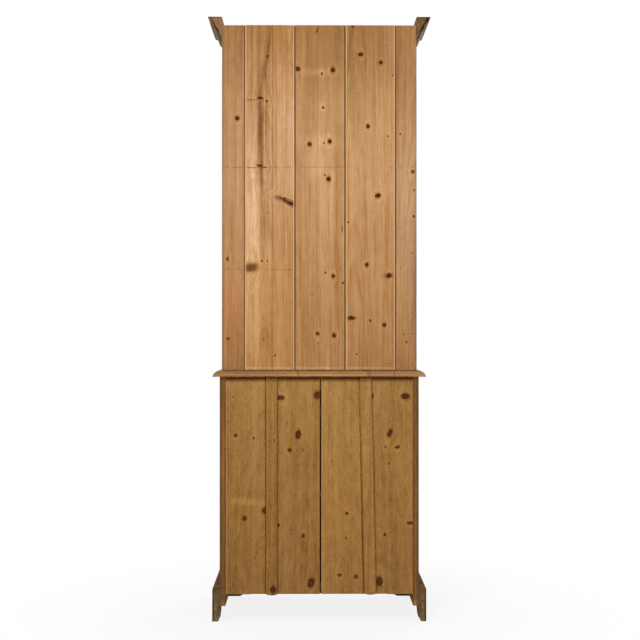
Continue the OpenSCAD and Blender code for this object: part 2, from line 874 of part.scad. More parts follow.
module rack_side(hand) {
    color(pine_dark) difference() {
        handed(hand) board([rack_in, rack_w / 2], [plank_t, rack_d], [worktop_h, rack_top_z]);
        rack_shelf_solid(shelf_1_up);
        rack_shelf_solid(shelf_2_up);
        rack_top_solid();
    }
}

module rack_foot_rail() {
    color(pine_pale) board([-rack_in, rack_in], [plank_t, plank_t + board_t],
        [worktop_h, worktop_h + foot_rail_h]);
}

// The frieze's lower edge rises in a flat arch between two ogee curves
module frieze() {
    low = rack_top_z - frieze_h;
    curve = ogee(frieze_end - rack_in, low, frieze_ogee, frieze_rise);
    color(pine) front_on([rack_d - frame_t, rack_d]) polygon(concat(
        [[-rack_in, rack_top_z], [-rack_in, low]],
        curve,
        [for (i = [len(curve) - 1 : -1 : 0]) [-curve[i][0], curve[i][1]]],
        [[rack_in, low], [rack_in, rack_top_z]]
    ));
}

// The cornice's section: a raking fillet, a quirk, an ovolo, a step and a cove down to the rack
function cornice_section() = concat(
    [[0, total_h], [cornice_out, total_h], [cornice_out, total_h - 0.06 * cornice_h],
     [0.86 * cornice_out, total_h - 0.27 * cornice_h], [0.62 * cornice_out, total_h - 0.34 * cornice_h]],
    arc(0.28 * cornice_out, total_h - 0.40 * cornice_h, 0.31 * cornice_out, 0.29 * cornice_h, 0, -90, 8),
    [[0.20 * cornice_out, total_h - 0.69 * cornice_h]],
    arc(0.20 * cornice_out, total_h - cornice_h, 0.20 * cornice_out, 0.27 * cornice_h, 90, 180, 6)
);

module cornice_front() {
    half = rack_w / 2;
    color(pine) intersection() {
        side_on([-half - cornice_out - 1, half + cornice_out + 1])
            polygon([for (p = cornice_section()) [-rack_d - p[0], p[1]]]);
        plan([total_h - cornice_h - 1, total_h + 1]) polygon([
            [-half, -rack_d], [half, -rack_d],
            [half + cornice_out, -rack_d - cornice_out], [-half - cornice_out, -rack_d - cornice_out]
        ]);
    }
}

module cornice_return(hand) {
    half = rack_w / 2;
    color(pine) handed(hand) intersection() {
        front_on([0, rack_d + cornice_out])
            polygon([for (p = cornice_section()) [half + p[0], p[1]]]);
        plan([total_h - cornice_h - 1, total_h + 1]) polygon([
            [half, 0], [half + cornice_out, 0],
            [half + cornice_out, -rack_d - cornice_out], [half, -rack_d]
        ]);
    }
}

// A back board's section, with chamfered back edges, and a tongue or a groove where it meets others
module rack_back_board(i) {
    x = rack_planks[i];
    back = i == 0 || i == 4 ? strip_down : 0;
    low = worktop_h + plank_up;
    tongue_d = [plank_t / 2, plank_t / 2 + tongue_t];
    slack = 0.5;
    color(i % 2 == 0 ? pine_pale : pine) difference() {
        union() {
            plan([low, rack_top_z]) polygon([
                [x[0], -plank_t], [x[0], -back - plank_chamfer], [x[0] + plank_chamfer, -back],
                [x[1] - plank_chamfer, -back], [x[1], -back - plank_chamfer], [x[1], -plank_t]
            ]);
            if (i > 0)
                board([x[1] - 1, x[1] + plank_gap + tongue_l], tongue_d, [low, rack_top_z]);
        }
        if (i < 4)
            board([x[0] - 1, x[0] + tongue_l + slack], [tongue_d[0] - slack / 2, tongue_d[1] + slack / 2],
                [worktop_h - 1, rack_top_z + 1]);
    }
}

module in_room() {
    translate([0, wall_y, 0]) children();
}

in_room() base_side(LEFT);  // base_side_left
in_room() base_side(RIGHT);  // base_side_right
in_room() worktop();
in_room() base_floor();
in_room() cupboard_shelf();
in_room() back_rail();
in_room() front_stile(LEFT);  // front_stile_left
in_room() front_stile(RIGHT);  // front_stile_right
in_room() top_rail();
in_room() drawer_rail();
in_room() drawer_divider();
in_room() drawer_runners();
in_room() stop_blocks();
in_room() base_back_board(0);  // base_back_board_1
in_room() base_back_board(1);  // base_back_board_2
in_room() base_back_board(2);  // base_back_board_3
in_room() base_back_board(3);  // base_back_board_4
in_room() back_battens();
in_room() plinth_front();
in_room() plinth_side(LEFT);  // plinth_side_left
in_room() plinth_side(RIGHT);  // plinth_side_right
in_room() plinth_blocks();
in_room() frame_hinge_leaves();
in_room() hinge_pins();
in_room() drawer_front(LEFT);  // drawer_left_front
in_room() drawer_sides(LEFT);  // drawer_left_sides
in_room() drawer_back(LEFT);  // drawer_left_back
in_room() drawer_bottom(LEFT);  // drawer_left_bottom
in_room() drawer_knob(LEFT);  // drawer_left_knob
in_room() drawer_front(RIGHT);  // drawer_right_front
in_room() drawer_sides(RIGHT);  // drawer_right_sides
in_room() drawer_back(RIGHT);  // drawer_right_back
in_room() drawer_bottom(RIGHT);  // drawer_right_bottom
in_room() drawer_knob(RIGHT);  // drawer_right_knob
in_room() door_frame(LEFT);  // door_left_frame
in_room() door_panel(LEFT);  // door_left_panel
in_room() door_hinge_leaves(LEFT);  // door_left_hinge_leaves
in_room() fixed_knob(-catch_x, catch_z);  // door_left_knob
in_room() bolt_plate();
in_room() bolt_rod();
in_room() door_frame(RIGHT);  // door_right_frame
in_room() door_panel(RIGHT);  // door_right_panel
in_room() door_hinge_leaves(RIGHT);  // door_right_hinge_leaves
in_room() catch_knob();
in_room() catch_tongue();
in_room() rack_side(LEFT);  // rack_side_left
in_room() rack_side(RIGHT);  // rack_side_right
in_room() rack_foot_rail();
in_room() rack_shelf(shelf_1_up);  // rack_shelf_lower
in_room() rack_shelf(shelf_2_up);  // rack_shelf_upper
in_room() rack_top();
in_room() frieze();
in_room() cornice_front();
in_room() cornice_return(LEFT);  // cornice_return_left
in_room() cornice_return(RIGHT);  // cornice_return_right
in_room() rack_back_board(0);  // rack_back_board_1
in_room() rack_back_board(1);  // rack_back_board_2
in_room() rack_back_board(2);  // rack_back_board_3
in_room() rack_back_board(3);  // rack_back_board_4
in_room() rack_back_board(4);  // rack_back_board_5
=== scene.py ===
import json
import math
import random

import bmesh
import bpy
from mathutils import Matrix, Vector, noise

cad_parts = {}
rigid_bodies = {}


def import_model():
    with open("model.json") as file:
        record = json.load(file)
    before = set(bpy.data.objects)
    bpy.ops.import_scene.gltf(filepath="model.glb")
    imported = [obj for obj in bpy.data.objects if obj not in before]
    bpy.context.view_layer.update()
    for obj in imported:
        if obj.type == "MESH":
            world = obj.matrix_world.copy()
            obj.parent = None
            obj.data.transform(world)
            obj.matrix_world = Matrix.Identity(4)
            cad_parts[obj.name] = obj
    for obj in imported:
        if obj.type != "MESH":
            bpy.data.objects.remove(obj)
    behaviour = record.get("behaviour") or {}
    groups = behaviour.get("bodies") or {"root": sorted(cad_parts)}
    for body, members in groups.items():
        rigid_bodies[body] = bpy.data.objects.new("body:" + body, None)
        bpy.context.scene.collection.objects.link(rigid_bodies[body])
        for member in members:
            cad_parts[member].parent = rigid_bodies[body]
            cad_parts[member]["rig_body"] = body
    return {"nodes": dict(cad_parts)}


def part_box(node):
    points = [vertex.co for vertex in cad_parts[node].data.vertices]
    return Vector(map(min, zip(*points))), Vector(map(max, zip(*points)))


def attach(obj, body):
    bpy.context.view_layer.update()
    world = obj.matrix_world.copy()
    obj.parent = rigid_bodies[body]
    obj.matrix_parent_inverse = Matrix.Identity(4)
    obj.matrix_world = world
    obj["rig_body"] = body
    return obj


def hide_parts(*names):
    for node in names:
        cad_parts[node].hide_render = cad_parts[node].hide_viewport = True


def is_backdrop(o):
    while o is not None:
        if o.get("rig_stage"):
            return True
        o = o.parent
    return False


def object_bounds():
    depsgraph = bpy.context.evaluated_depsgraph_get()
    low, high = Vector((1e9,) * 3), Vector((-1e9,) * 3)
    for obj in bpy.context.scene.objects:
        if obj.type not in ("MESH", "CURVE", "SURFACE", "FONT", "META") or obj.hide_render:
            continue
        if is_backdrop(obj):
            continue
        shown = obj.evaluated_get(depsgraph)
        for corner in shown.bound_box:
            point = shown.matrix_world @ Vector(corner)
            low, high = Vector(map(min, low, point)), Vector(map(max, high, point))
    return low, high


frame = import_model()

cad_low, cad_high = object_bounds()


# Sides of the base
# Two pine boards 20 mm thick with upright grain, housed for the floor and rebated for the back.
# Waxed brown outside; their back edges show from behind, rubbed and reddish with old wax.
mm = 0.001
side_edge_grime = (0.085, 0.034, 0.011)
side_back_edge = (1.03, 0.96, 0.75)
side_edge_dark = (0.52, 0.62, 0.8)
side_seam_dark = (0.6, 0.42, 0.3)
side_foot_worn = (1.5, 1.8, 2.0)
side_outer_arris, side_joint, side_middle = 345, 327, 336
base_side_dark = (0.17, 0.074, 0.024)
base_side_pale = (0.36, 0.18, 0.066)


def wire(tree, kind, feeds=None, **settings):
    """Sets one shader node; feeds gives its inputs by name, each a value or another node's socket."""
    made = tree.nodes.new("ShaderNode" + kind)
    for label, value in settings.items():
        setattr(made, label, value)
    for label, value in (feeds or {}).items():
        feed(tree, made.inputs[label], value)
    return made


def feed(tree, socket, value):
    """Joins a socket to an input, or writes a plain value there; a colour is given as three shares."""
    if isinstance(value, bpy.types.NodeSocket):
        tree.links.new(value, socket)
    else:
        socket.default_value = (*value, 1) if socket.type == "RGBA" else value


def reckon(tree, operation, *terms):
    """One sum on numbers or sockets."""
    made = tree.nodes.new("ShaderNodeMath")
    made.operation = operation
    for socket, term in zip(made.inputs, terms):
        feed(tree, socket, term)
    return made.outputs[0]


def times(tree, first, second):
    """One number times another."""
    return reckon(tree, "MULTIPLY", first, second)


def times_plus(tree, first, second, more):
    """One number times another, and some more."""
    return reckon(tree, "MULTIPLY_ADD", first, second, more)


def place_sum(tree, operation, *terms):
    """One sum on places; a length or a dot product comes back as a number."""
    made = tree.nodes.new("ShaderNodeVectorMath")
    made.operation = operation
    for socket, term in zip(made.inputs, terms):
        feed(tree, socket, term)
    return made.outputs[1 if operation in ("LENGTH", "DOT_PRODUCT") else 0]


def spread(tree, place, share):
    """A place stretched by so much in each direction."""
    return place_sum(tree, "MULTIPLY", place, share)


def ease_between(tree, value, start, end, low=0.0, high=1.0):
    """A smooth change from low to high while value goes from start to end."""
    made = tree.nodes.new("ShaderNodeMapRange")
    made.interpolation_type = "SMOOTHSTEP"
    for socket, term in zip(made.inputs, (value, start, end, low, high)):
        feed(tree, socket, term)
    return made.outputs[0]


def tint(tree, share, first, second, way="MIX"):
    """Mixes the second colour into the first."""
    made = tree.nodes.new("ShaderNodeMix")
    made.data_type = "RGBA"
    made.blend_type = way
    feed(tree, made.inputs[0], share)
    feed(tree, made.inputs[6], first)
    feed(tree, made.inputs[7], second)
    return made.outputs[2]


def parts_of(tree, place):
    """The three numbers that a place is made of."""
    return wire(tree, "SeparateXYZ", {"Vector": place}).outputs


def place_of(tree, **parts):
    """A place made of its numbers; one that isn't given is 0."""
    return wire(tree, "CombineXYZ", parts).outputs[0]


def cloud(tree, place, stretch, detail=2.0, roughness=0.5, out=0):
    """Soft uneven values from 0 to 1, so many to the metre across, through and along the grain."""
    return wire(tree, "TexNoise", {"Vector": spread(tree, place, stretch), "Scale": 1.0, "Detail": detail,
                                   "Roughness": roughness}).outputs[out]


def wander(tree, place, stretch, detail, reach, roughness=0.5):
    """A soft uneven shove, by up to half of reach each way."""
    shove = cloud(tree, place, stretch, detail, roughness, 1)
    return spread(tree, place_sum(tree, "SUBTRACT", shove, (0.5, 0.5, 0.5)), reach)


def finish_group(name, gives, *takes):
    """An empty node group; each text gives a kind of socket and the sockets of that kind."""
    group = bpy.data.node_groups.new(name, "ShaderNodeTree")
    for way, texts in (("INPUT", takes), ("OUTPUT", gives)):
        for kind, *labels in (text.split() for text in texts):
            for label in labels:
                group.interface.new_socket(label, in_out=way, socket_type="NodeSocket" + kind)
    return group, group.nodes.new("NodeGroupInput").outputs, group.nodes.new("NodeGroupOutput").inputs


fibre_grain = (820, 820, 16)
streak_grain = (170, 170, 2.6)
fade_top = 2100


def make_pine_figure():
    """Growth rings round a heart outside the board, broad bands, and fine fibre along the grain."""
    ring = 0.0034
    group, take, give = finish_group(
        "pine figure", ("Color Colour", "Float Late"), "Vector Place Log Heart",
        "Float Lean Push Lines Bands Patches Specks Streaks Mottle Olive", "Color Dark Pale")
    bent = place_sum(group, "ADD", take["Place"], place_of(group, X=take["Push"]))
    logged = place_sum(group, "ADD", bent, take["Log"])

    slow = wander(group, logged, (1.6, 1.6, 0.75), 1.5, (0.035, 0.035, 0))
    ripple = wander(group, logged, (9, 9, 5), 1.0, (0.006, 0.006, 0))
    along = parts_of(group, take["Place"])[2]
    leaning = place_of(group, Y=times(group, along, take["Lean"]))
    from_heart = place_sum(group, "SUBTRACT", bent, take["Heart"])
    from_heart = place_sum(group, "ADD", place_sum(group, "ADD", from_heart, leaning),
                           place_sum(group, "ADD", slow, ripple))
    years = place_sum(group, "LENGTH", spread(group, from_heart, (1, 1, 0)))
    spacing = wire(group, "TexNoise", {"W": times(group, years, 70.0), "Scale": 1.0,
                                       "Detail": 1.0}, noise_dimensions="1D").outputs[0]
    years = reckon(group, "ADD", years, times(group, spacing, 0.012))
    turn = reckon(group, "FRACT", reckon(group, "DIVIDE", years, ring))
    late = times(group, ease_between(group, turn, 0.3, 0.85), ease_between(group, turn, 0.9, 1.0, 1.0, 0.0))
    strong = wire(group, "TexNoise", {"W": times(group, years, 160.0), "Scale": 1.0, "Detail": 0.0},
                  noise_dimensions="1D").outputs[0]
    late = times(group, late, ease_between(group, strong, 0.35, 0.65, 0.25, 1.0))

    fibre = cloud(group, logged, fibre_grain)
    streak = cloud(group, logged, streak_grain)
    stripe = cloud(group, logged, (75, 75, 1.1), 1.0)
    blotch = cloud(group, logged, (55, 55, 24), 3.0, 0.6)
    grit = cloud(group, logged, (260, 260, 170), 2.0, 0.6)
    band = cloud(group, logged, (26, 26, 0.55), 1.0)
    patch = cloud(group, logged, (9, 9, 2.6), 3.0, 0.6)
    speck = ease_between(group, cloud(group, logged, (230, 230, 85), 3.0, 0.7), 0.5, 0.72)
    share = times_plus(group, reckon(group, "SUBTRACT", band, 0.5), take["Bands"], 0.56)
    share = times_plus(group, reckon(group, "SUBTRACT", patch, 0.5), take["Patches"], share)
    for amount, parts in (("Streaks", ((fibre, 0.7), (streak, 1.2), (stripe, 0.8))),
                          ("Mottle", ((blotch, 0.6), (grit, 0.4)))):
        uneven = -0.5 * sum(strength for value, strength in parts)
        for value, strength in parts:
            uneven = times_plus(group, value, strength, uneven)
        share = times_plus(group, uneven, take[amount], share)
    share = reckon(group, "SUBTRACT", share, times(group, late, take["Lines"]))
    share = reckon(group, "SUBTRACT", share, times(group, speck, take["Specks"]))
    share = wire(group, "Clamp", {"Value": share}).outputs[0]
    colour = tint(group, share, take["Dark"], take["Pale"])
    orange = times(group, late, times(group, take["Lines"], 1.4))
    colour = tint(group, orange, colour, (1.0, 0.82, 0.62), "MULTIPLY")
    olive = ease_between(group, cloud(group, logged, (17, 17, 0.8), 1.0), 0.5, 0.68)
    olive = times(group, olive, take["Olive"])
    colour = tint(group, olive, colour, (0.86, 0.95, 0.8), "MULTIPLY")
    feed(group, give["Colour"], colour)
    feed(group, give["Late"], late)
    return group


def make_sawn_face():
    """The raised fibre and the faint plane marks of a pine face, as a height."""
    group, take, give = finish_group("sawn face", ("Float Relief",), "Vector Place Log")
    logged = place_sum(group, "ADD", take["Place"], take["Log"])
    fibre = cloud(group, logged, fibre_grain)
    streak = cloud(group, logged, streak_grain)
    marks = cloud(group, logged, (12, 12, 95), 1.0)
    relief = reckon(group, "ADD", times(group, streak, 0.6), times(group, fibre, 0.4))
    feed(group, give["Relief"], times_plus(group, marks, 0.35, relief))
    return group


def in_oval(group, take):
    """The place measured in the oval's own turned half-widths."""
    return wire(group, "Mapping", {
        "Vector": take["Place"], "Location": take["Centre"], "Rotation": place_of(group, Y=take["Turn"]),
        "Scale": take["Size"]}, vector_type="TEXTURE").outputs[0]


def bend_round(group, lens):
    """How much of the grain's shove is left at a place, from 0.82 at a knot down to nothing."""
    reach = place_sum(group, "DOT_PRODUCT", lens, lens)
    return reckon(group, "DIVIDE", 0.82, times_plus(group, reach, reach, 1.0))


def make_one_knot():
    """One knot cut across: it stains its oval, bends the grain round it, and says how near it is."""
    group, take, give = finish_group(
        "one knot", ("Float Push Near Stain",), "Vector Place Centre Size",
        "Float Turn Depth Softness Push Near Stain")
    local = in_oval(group, take)
    flat = spread(group, local, (1, 0, 1))
    far = place_sum(group, "LENGTH", flat)
    outer = reckon(group, "ADD", take["Softness"], 1.32)
    inner = reckon(group, "SUBTRACT", 0.74, take["Softness"])
    disc = times(group, ease_between(group, far, outer, inner), take["Depth"])
    feed(group, give["Stain"], reckon(group, "MAXIMUM", take["Stain"], disc))
    round_it = place_sum(group, "LENGTH", spread(group, local, (1, 0, 0.75)))
    pale = times_plus(group, take["Softness"], 4.0, round_it)
    pale = reckon(group, "ADD", pale, times_plus(group, take["Depth"], -1.0, 1.0))
    feed(group, give["Near"], reckon(group, "MINIMUM", take["Near"], pale))
    fall = bend_round(group, spread(group, flat, (0.5, 0, 0.26)))
    fall = times(group, fall, reckon(group, "SUBTRACT", 1.0, take["Softness"]))
    side = times(group, parts_of(group, flat)[0], parts_of(group, take["Size"])[0])
    shove = times(group, side, fall)
    feed(group, give["Push"], reckon(group, "SUBTRACT", take["Push"], shove))
    return group


def make_stray_knots():
    """A few knots strewn through a board whose own knots the photograph doesn't show."""
    group, take, give = finish_group(
        "stray knots", ("Float Push Near Stain",), "Vector Place Log", "Float Share")
    logged = place_sum(group, "ADD", take["Place"], take["Log"])
    to_the_metre = (9, 9, 4)
    cells = spread(group, logged, to_the_metre)
    found = wire(group, "TexVoronoi", {"Vector": cells, "Scale": 1.0, "Randomness": 0.85})
    lot = wire(group, "SeparateColor", {"Color": found.outputs["Color"]}).outputs
    there = ease_between(group, lot[1], take["Share"], reckon(group, "SUBTRACT", take["Share"], 0.01))
    size = times_plus(group, lot[0], 0.0065, 0.0022)
    offset = place_sum(group, "SUBTRACT", cells, found.outputs["Position"])
    offset = place_sum(group, "DIVIDE", offset, to_the_metre)
    sized = place_of(group, X=size, Y=size, Z=times(group, size, 1.12))
    local = place_sum(group, "DIVIDE", offset, sized)
    far = place_sum(group, "LENGTH", local)
    disc = times(group, ease_between(group, far, 1.3, 0.74), there)
    feed(group, give["Stain"], times(group, disc, ease_between(group, lot[2], 0.0, 0.6, 0.55, 0.95)))
    feed(group, give["Near"], reckon(group, "ADD", far, times_plus(group, there, -9.0, 9.0)))
    fall = bend_round(group, spread(group, local, (0.5, 0.5, 0.26)))
    shove = times(group, times(group, parts_of(group, offset)[0], fall), there)
    feed(group, give["Push"], times(group, shove, -1.0))
    return group


def make_knot_stain():
    """The brown of a knot with its own rings and dark rim, and the paler wood close round it."""
    group, take, give = finish_group(
        "knot stain", ("Color Colour",), "Vector Place", "Float Near Stain", "Color Colour")
    rough = cloud(group, take["Place"], (330, 330, 330), 2.0)
    wave = times_plus(group, take["Near"], 11.0, times(group, rough, 6.0))
    rings = times_plus(group, reckon(group, "SINE", wave), 0.5, 0.5)
    rim = ease_between(group, take["Near"], 0.62, 0.95)
    rings = times(group, rings, reckon(group, "SUBTRACT", 1.0, rim))
    brown = tint(group, rings, (0.028, 0.008, 0.0012), (0.1, 0.026, 0.004))
    pale = ease_between(group, take["Near"], 3.4, 1.9, 0.0, 0.36)
    around = tint(group, pale, take["Colour"], (1.22, 1.2, 1.12), "MULTIPLY")
    flush = times_plus(group, rough, 1.2, take["Near"])
    flush = ease_between(group, flush, 2.5, 1.45, 0.0, 0.75)
    around = tint(group, flush, around, (0.62, 0.42, 0.28), "MULTIPLY")
    feed(group, give["Colour"], tint(group, take["Stain"], around, brown))
    return group


def make_one_mark():
    """One ragged oval of paler or darker wood: a bleached patch, a streak, a run of grime."""
    group, take, give = finish_group(
        "one mark", ("Color Colour",), "Vector Place Centre Size", "Float Turn Share Ragged",
        "Color Tone Colour")
    local = in_oval(group, take)
    far = place_sum(group, "LENGTH", spread(group, local, (1, 0, 1)))
    drawn_out = cloud(group, take["Place"], (120, 120, 8), 3.0, 0.6)
    blotchy = cloud(group, take["Place"], (48, 48, 30), 4.0, 0.65)
    for value in (drawn_out, blotchy):
        uneven = times_plus(group, value, 1.5, -0.75)
        far = times_plus(group, uneven, take["Ragged"], far)
    mask = times(group, ease_between(group, far, 1.25, 0.15), take["Share"])
    feed(group, give["Colour"], tint(group, mask, take["Colour"], take["Tone"], "MULTIPLY"))
    return group


def make_edge_line():
    """One broken line along the grain: a dirty joint, a rubbed edge or a dark streak."""
    group, take, give = finish_group(
        "edge line", ("Color Colour",), "Vector Place", "Float At Width Share", "Color Tone Colour")
    across = parts_of(group, take["Place"])[0]
    off = reckon(group, "ABSOLUTE", reckon(group, "SUBTRACT", across, take["At"]))
    rough = cloud(group, place_sum(group, "ADD", take["Place"], (3.3, 0, 0)), (20, 20, 14), 4.0, 0.65)
    width = times(group, take["Width"], times_plus(group, rough, 1.8, 0.1))
    line = ease_between(group, off, width, times(group, width, 0.3))
    line = times(group, line, take["Share"])
    feed(group, give["Colour"], tint(group, line, take["Colour"], take["Tone"]))
    return group


def make_rubbed_arrises():
    """How far a spot is rubbed: near the arrises of a board's box, or on an eased arris, unevenly."""
    rub_width = 0.003
    group, take, give = finish_group(
        "rubbed arrises", ("Float Rubbed",), "Vector Spot Low High", "Float Eased")
    low = place_sum(group, "SUBTRACT", take["Spot"], take["Low"])
    high = place_sum(group, "SUBTRACT", take["High"], take["Spot"])
    gap = parts_of(group, place_sum(group, "MINIMUM", low, high))
    pair = reckon(group, "MAXIMUM", gap[0], gap[1])
    least = reckon(group, "MINIMUM", gap[0], gap[1])
    second = reckon(group, "MAXIMUM", least, reckon(group, "MINIMUM", pair, gap[2]))
    rough = cloud(group, take["Spot"], (45, 45, 45), 4.0, 0.6)
    width = times(group, times_plus(group, rough, 3.2, -0.7), rub_width)
    near = ease_between(group, second, width, times(group, width, 0.35))
    eased = times(group, take["Eased"], ease_between(group, rough, 0.3, 0.55, 0.35, 1.0))
    feed(group, give["Rubbed"], reckon(group, "MAXIMUM", near, eased))
    return group


def make_old_grime():
    """Where wax and dust have settled: patchy, and heavier low down or at end grain."""
    group, take, give = finish_group(
        "old grime", ("Float Grime",), "Vector Place Seed", "Float Amount")
    spot = place_sum(group, "ADD", take["Place"], take["Seed"])
    broad = cloud(group, spot, (24, 24, 5), 4.0, 0.65)
    fine = cloud(group, spot, (210, 210, 30), 3.0, 0.6)
    patch = reckon(group, "ADD", times(group, broad, 0.6), times(group, fine, 0.42))
    feed(group, give["Grime"], times(group, ease_between(group, patch, 0.36, 0.66), take["Amount"]))
    return group


pine_figure = make_pine_figure()
sawn_face = make_sawn_face()
one_knot = make_one_knot()
stray_knots = make_stray_knots()
knot_stain = make_knot_stain()
one_mark = make_one_mark()
edge_line = make_edge_line()
rubbed_arrises = make_rubbed_arrises()
old_grime = make_old_grime()


def new_finish(name):
    """An empty finish, with its node tree and its shader."""
    made = bpy.data.materials.new(name)
    made.use_nodes = True
    return made, made.node_tree, made.node_tree.nodes["Principled BSDF"]


def use(tree, group, **inputs):
    """One node group with its inputs set; gives its outputs."""
    return wire(tree, "Group", inputs, node_tree=group).outputs


def draw_knot(tree, place, push, near, stain, x, z, wide, high, depth, soft=0, turn=0):
    """Adds one knot to the others; x, z and the half-widths are in millimetres, turn in degrees."""
    return use(tree, one_knot, Place=place, Centre=(x * mm, 0, z * mm), Size=(wide * mm, 1, high * mm),
               Turn=math.radians(turn), Depth=depth, Softness=soft, Push=push, Near=near, Stain=stain)


def draw_mark(tree, place, colour, x, z, wide, high, tone, share=1.0, ragged=1.0, turn=0):
    """Lays one mark over a colour, measured like a knot."""
    return use(tree, one_mark, Place=place, Centre=(x * mm, 0, z * mm), Size=(wide * mm, 1, high * mm),
               Turn=math.radians(turn), Tone=tone, Share=share, Ragged=ragged, Colour=colour)[0]


def draw_line(tree, place, colour, x, width, tone, share):
    """Lays one line along the grain over a colour."""
    return use(tree, edge_line, Place=place, At=x * mm, Width=width * mm, Tone=tone, Share=share,
               Colour=colour)[0]


def pine(name, grain, dark, pale, log, heart=(0.03, 0.07), lean=0.01, line=0.3, bands=0.8, patches=0.8,
         specks=0.2, streaks=1.0, mottle=0.6, olive=0.4, knots=(), stray=0.0, marks=(), lines=(),
         seams=(), rails=None, box=None, rubbed=(0.66, 0.43, 0.22), rub=0.5, grime=0.15,
         grime_tone=(0.12, 0.075, 0.04), gloss=0.6, shine=0.25, relief=0.3, fade=(), faces=(),
         end=(0.66, 0.55, 0.45)):
    """The wood of one board. grain names the frame's axes across, through and along its grain;
    knots, marks, lines and seams are placed by their millimetres across and along it."""
    made, tree, shader = new_finish(name)
    seen_from = wire(tree, "TexCoord").outputs
    spot = seen_from["Object"]
    axes = dict(zip("XYZ", parts_of(tree, spot)))
    looks = dict(zip("XYZ", parts_of(tree, seen_from["Normal"])))
    place = place_of(tree, **dict(zip("XYZ", (axes[way] for way in grain))))
    if rails:
        middle, reach = rails
        off = reckon(tree, "ABSOLUTE", reckon(tree, "SUBTRACT", axes["X"], middle))
        inside = reckon(tree, "SUBTRACT", reach, off)
        level = place_of(tree, X=axes["Z"], Y=axes["Y"], Z=axes["X"])
        across = wire(tree, "Mix", data_type="VECTOR")
        feed(tree, across.inputs[0], reckon(tree, "GREATER_THAN", inside, 0.0))
        feed(tree, across.inputs[4], place)
        feed(tree, across.inputs[5], level)
        place = across.outputs[1]
    ragged = wander(tree, place, (120, 120, 120), 3.0, (0.008, 0, 0.008), 0.6)
    rough_place = place_sum(tree, "ADD", place, ragged)

    push, near, stain = 0.0, 9.0, 0.0
    if stray:
        push, near, stain = use(tree, stray_knots, Place=rough_place, Log=log, Share=stray)
    for knot in knots:
        push, near, stain = draw_knot(tree, rough_place, push, near, stain, *knot)
    figure = use(tree, pine_figure, Place=place, Log=log, Heart=(*heart, 0), Lean=lean, Push=push,
                 Lines=line, Bands=bands, Patches=patches, Specks=specks, Streaks=streaks,
                 Mottle=mottle, Olive=olive, Dark=dark, Pale=pale)
    colour = figure["Colour"]
    for mark in marks:
        colour = draw_mark(tree, rough_place, colour, *mark)
    for drawn in lines:
        colour = draw_line(tree, place, colour, *drawn)
    # Tones by height; on the back boards these hold painted shade along their joints with the worktop.
    if fade:
        ramp = wire(tree, "ValToRGB", {"Fac": reckon(tree, "DIVIDE", axes["Z"], fade_top * mm)})
        stops = ramp.color_ramp.elements
        while len(stops) < len(fade):
            stops.new(0.5)
        for stop, (height, tone) in zip(stops, fade):
            stop.position = height / fade_top
            stop.color = (*tone, 1)
        colour = tint(tree, 1.0, colour, ramp.outputs[0], "MULTIPLY")
    colour = use(tree, knot_stain, Place=rough_place, Colour=colour, Near=near, Stain=stain)[0]
    bare = 0.0
    for way, tone in ((grain[2], end),) + tuple(faces):
        side = reckon(tree, "ABSOLUTE", looks[way]) if len(way) == 1 else looks[way[1]]
        if way[0] == "-":
            side = times(tree, side, -1.0)
        side = ease_between(tree, side, 0.6, 0.9)
        colour = tint(tree, side, colour, tone, "MULTIPLY")
        bare = reckon(tree, "MAXIMUM", side, bare)
    dirt = use(tree, old_grime, Place=place, Amount=grime, Seed=log)[0]
    colour = tint(tree, dirt, colour, grime_tone)
    low, high = box or (cad_low, cad_high)
    eased = wire(tree, "Attribute", attribute_name="rubbed").outputs["Fac"]
    worn = use(tree, rubbed_arrises, Spot=spot, Low=low, High=high, Eased=eased)[0]
    colour = tint(tree, times(tree, worn, rub), colour, rubbed)
    for seam in seams:
        colour = draw_line(tree, place, colour, *seam)
    if rails:
        joint = ease_between(tree, reckon(tree, "ABSOLUTE", inside), 0.9 * mm, 0.2 * mm, 0.0, 0.75)
        colour = tint(tree, joint, colour, (0.09, 0.045, 0.018))
    feed(tree, shader.inputs["Base Color"], colour)
    sheen = times_plus(tree, figure["Late"], -0.08, gloss)
    sheen = times_plus(tree, dirt, 0.2, sheen)
    feed(tree, shader.inputs["Roughness"], times_plus(tree, bare, 0.45, sheen))
    height = use(tree, sawn_face, Place=place, Log=log)[0]
    bump = wire(tree, "Bump", {"Height": height, "Strength": relief, "Distance": 0.6 * mm})
    feed(tree, shader.inputs["Normal"], bump.outputs[0])
    shader.inputs["Specular IOR Level"].default_value = shine
    return made


def paint_back_stains_and_shade(wood, marks):
    """Adds ragged ovals, placed in the frame's x and z, to the faces of a piece that look back: stain, and
    on some pieces painted shade.
    """
    tree = wood.node_tree
    base = tree.nodes["Principled BSDF"].inputs["Base Color"]
    clean = base.links[0].from_socket
    seen_from = wire(tree, "TexCoord").outputs
    looks = parts_of(tree, seen_from["Normal"])
    colour = clean
    for mark in marks:
        colour = draw_mark(tree, seen_from["Object"], colour, *mark)
    feed(tree, base, tint(tree, ease_between(tree, looks[1], 0.5, 0.8), clean, colour))


def put_in(name, shape):
    """A new object in the scene."""
    made = bpy.data.objects.new(name, shape)
    bpy.context.scene.collection.objects.link(made)
    return made


def set_in_place(name, worked, finish, body):
    """Makes a worked mesh a piece that rides on a body."""
    shape = bpy.data.meshes.new(name)
    worked.to_mesh(shape)
    worked.free()
    if "custom_normal" in shape.attributes:
        shape.attributes.remove(shape.attributes["custom_normal"])
    shape.materials.append(finish)
    piece = put_in(name, shape)
    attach(piece, body)
    return piece


def stand_for(node, prefix, worked, finish):
    """Sets a worked mesh in the place of a CAD node."""
    source = frame["nodes"][node]
    piece = set_in_place(prefix + node, worked, finish, source["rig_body"])
    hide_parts(node)
    return piece


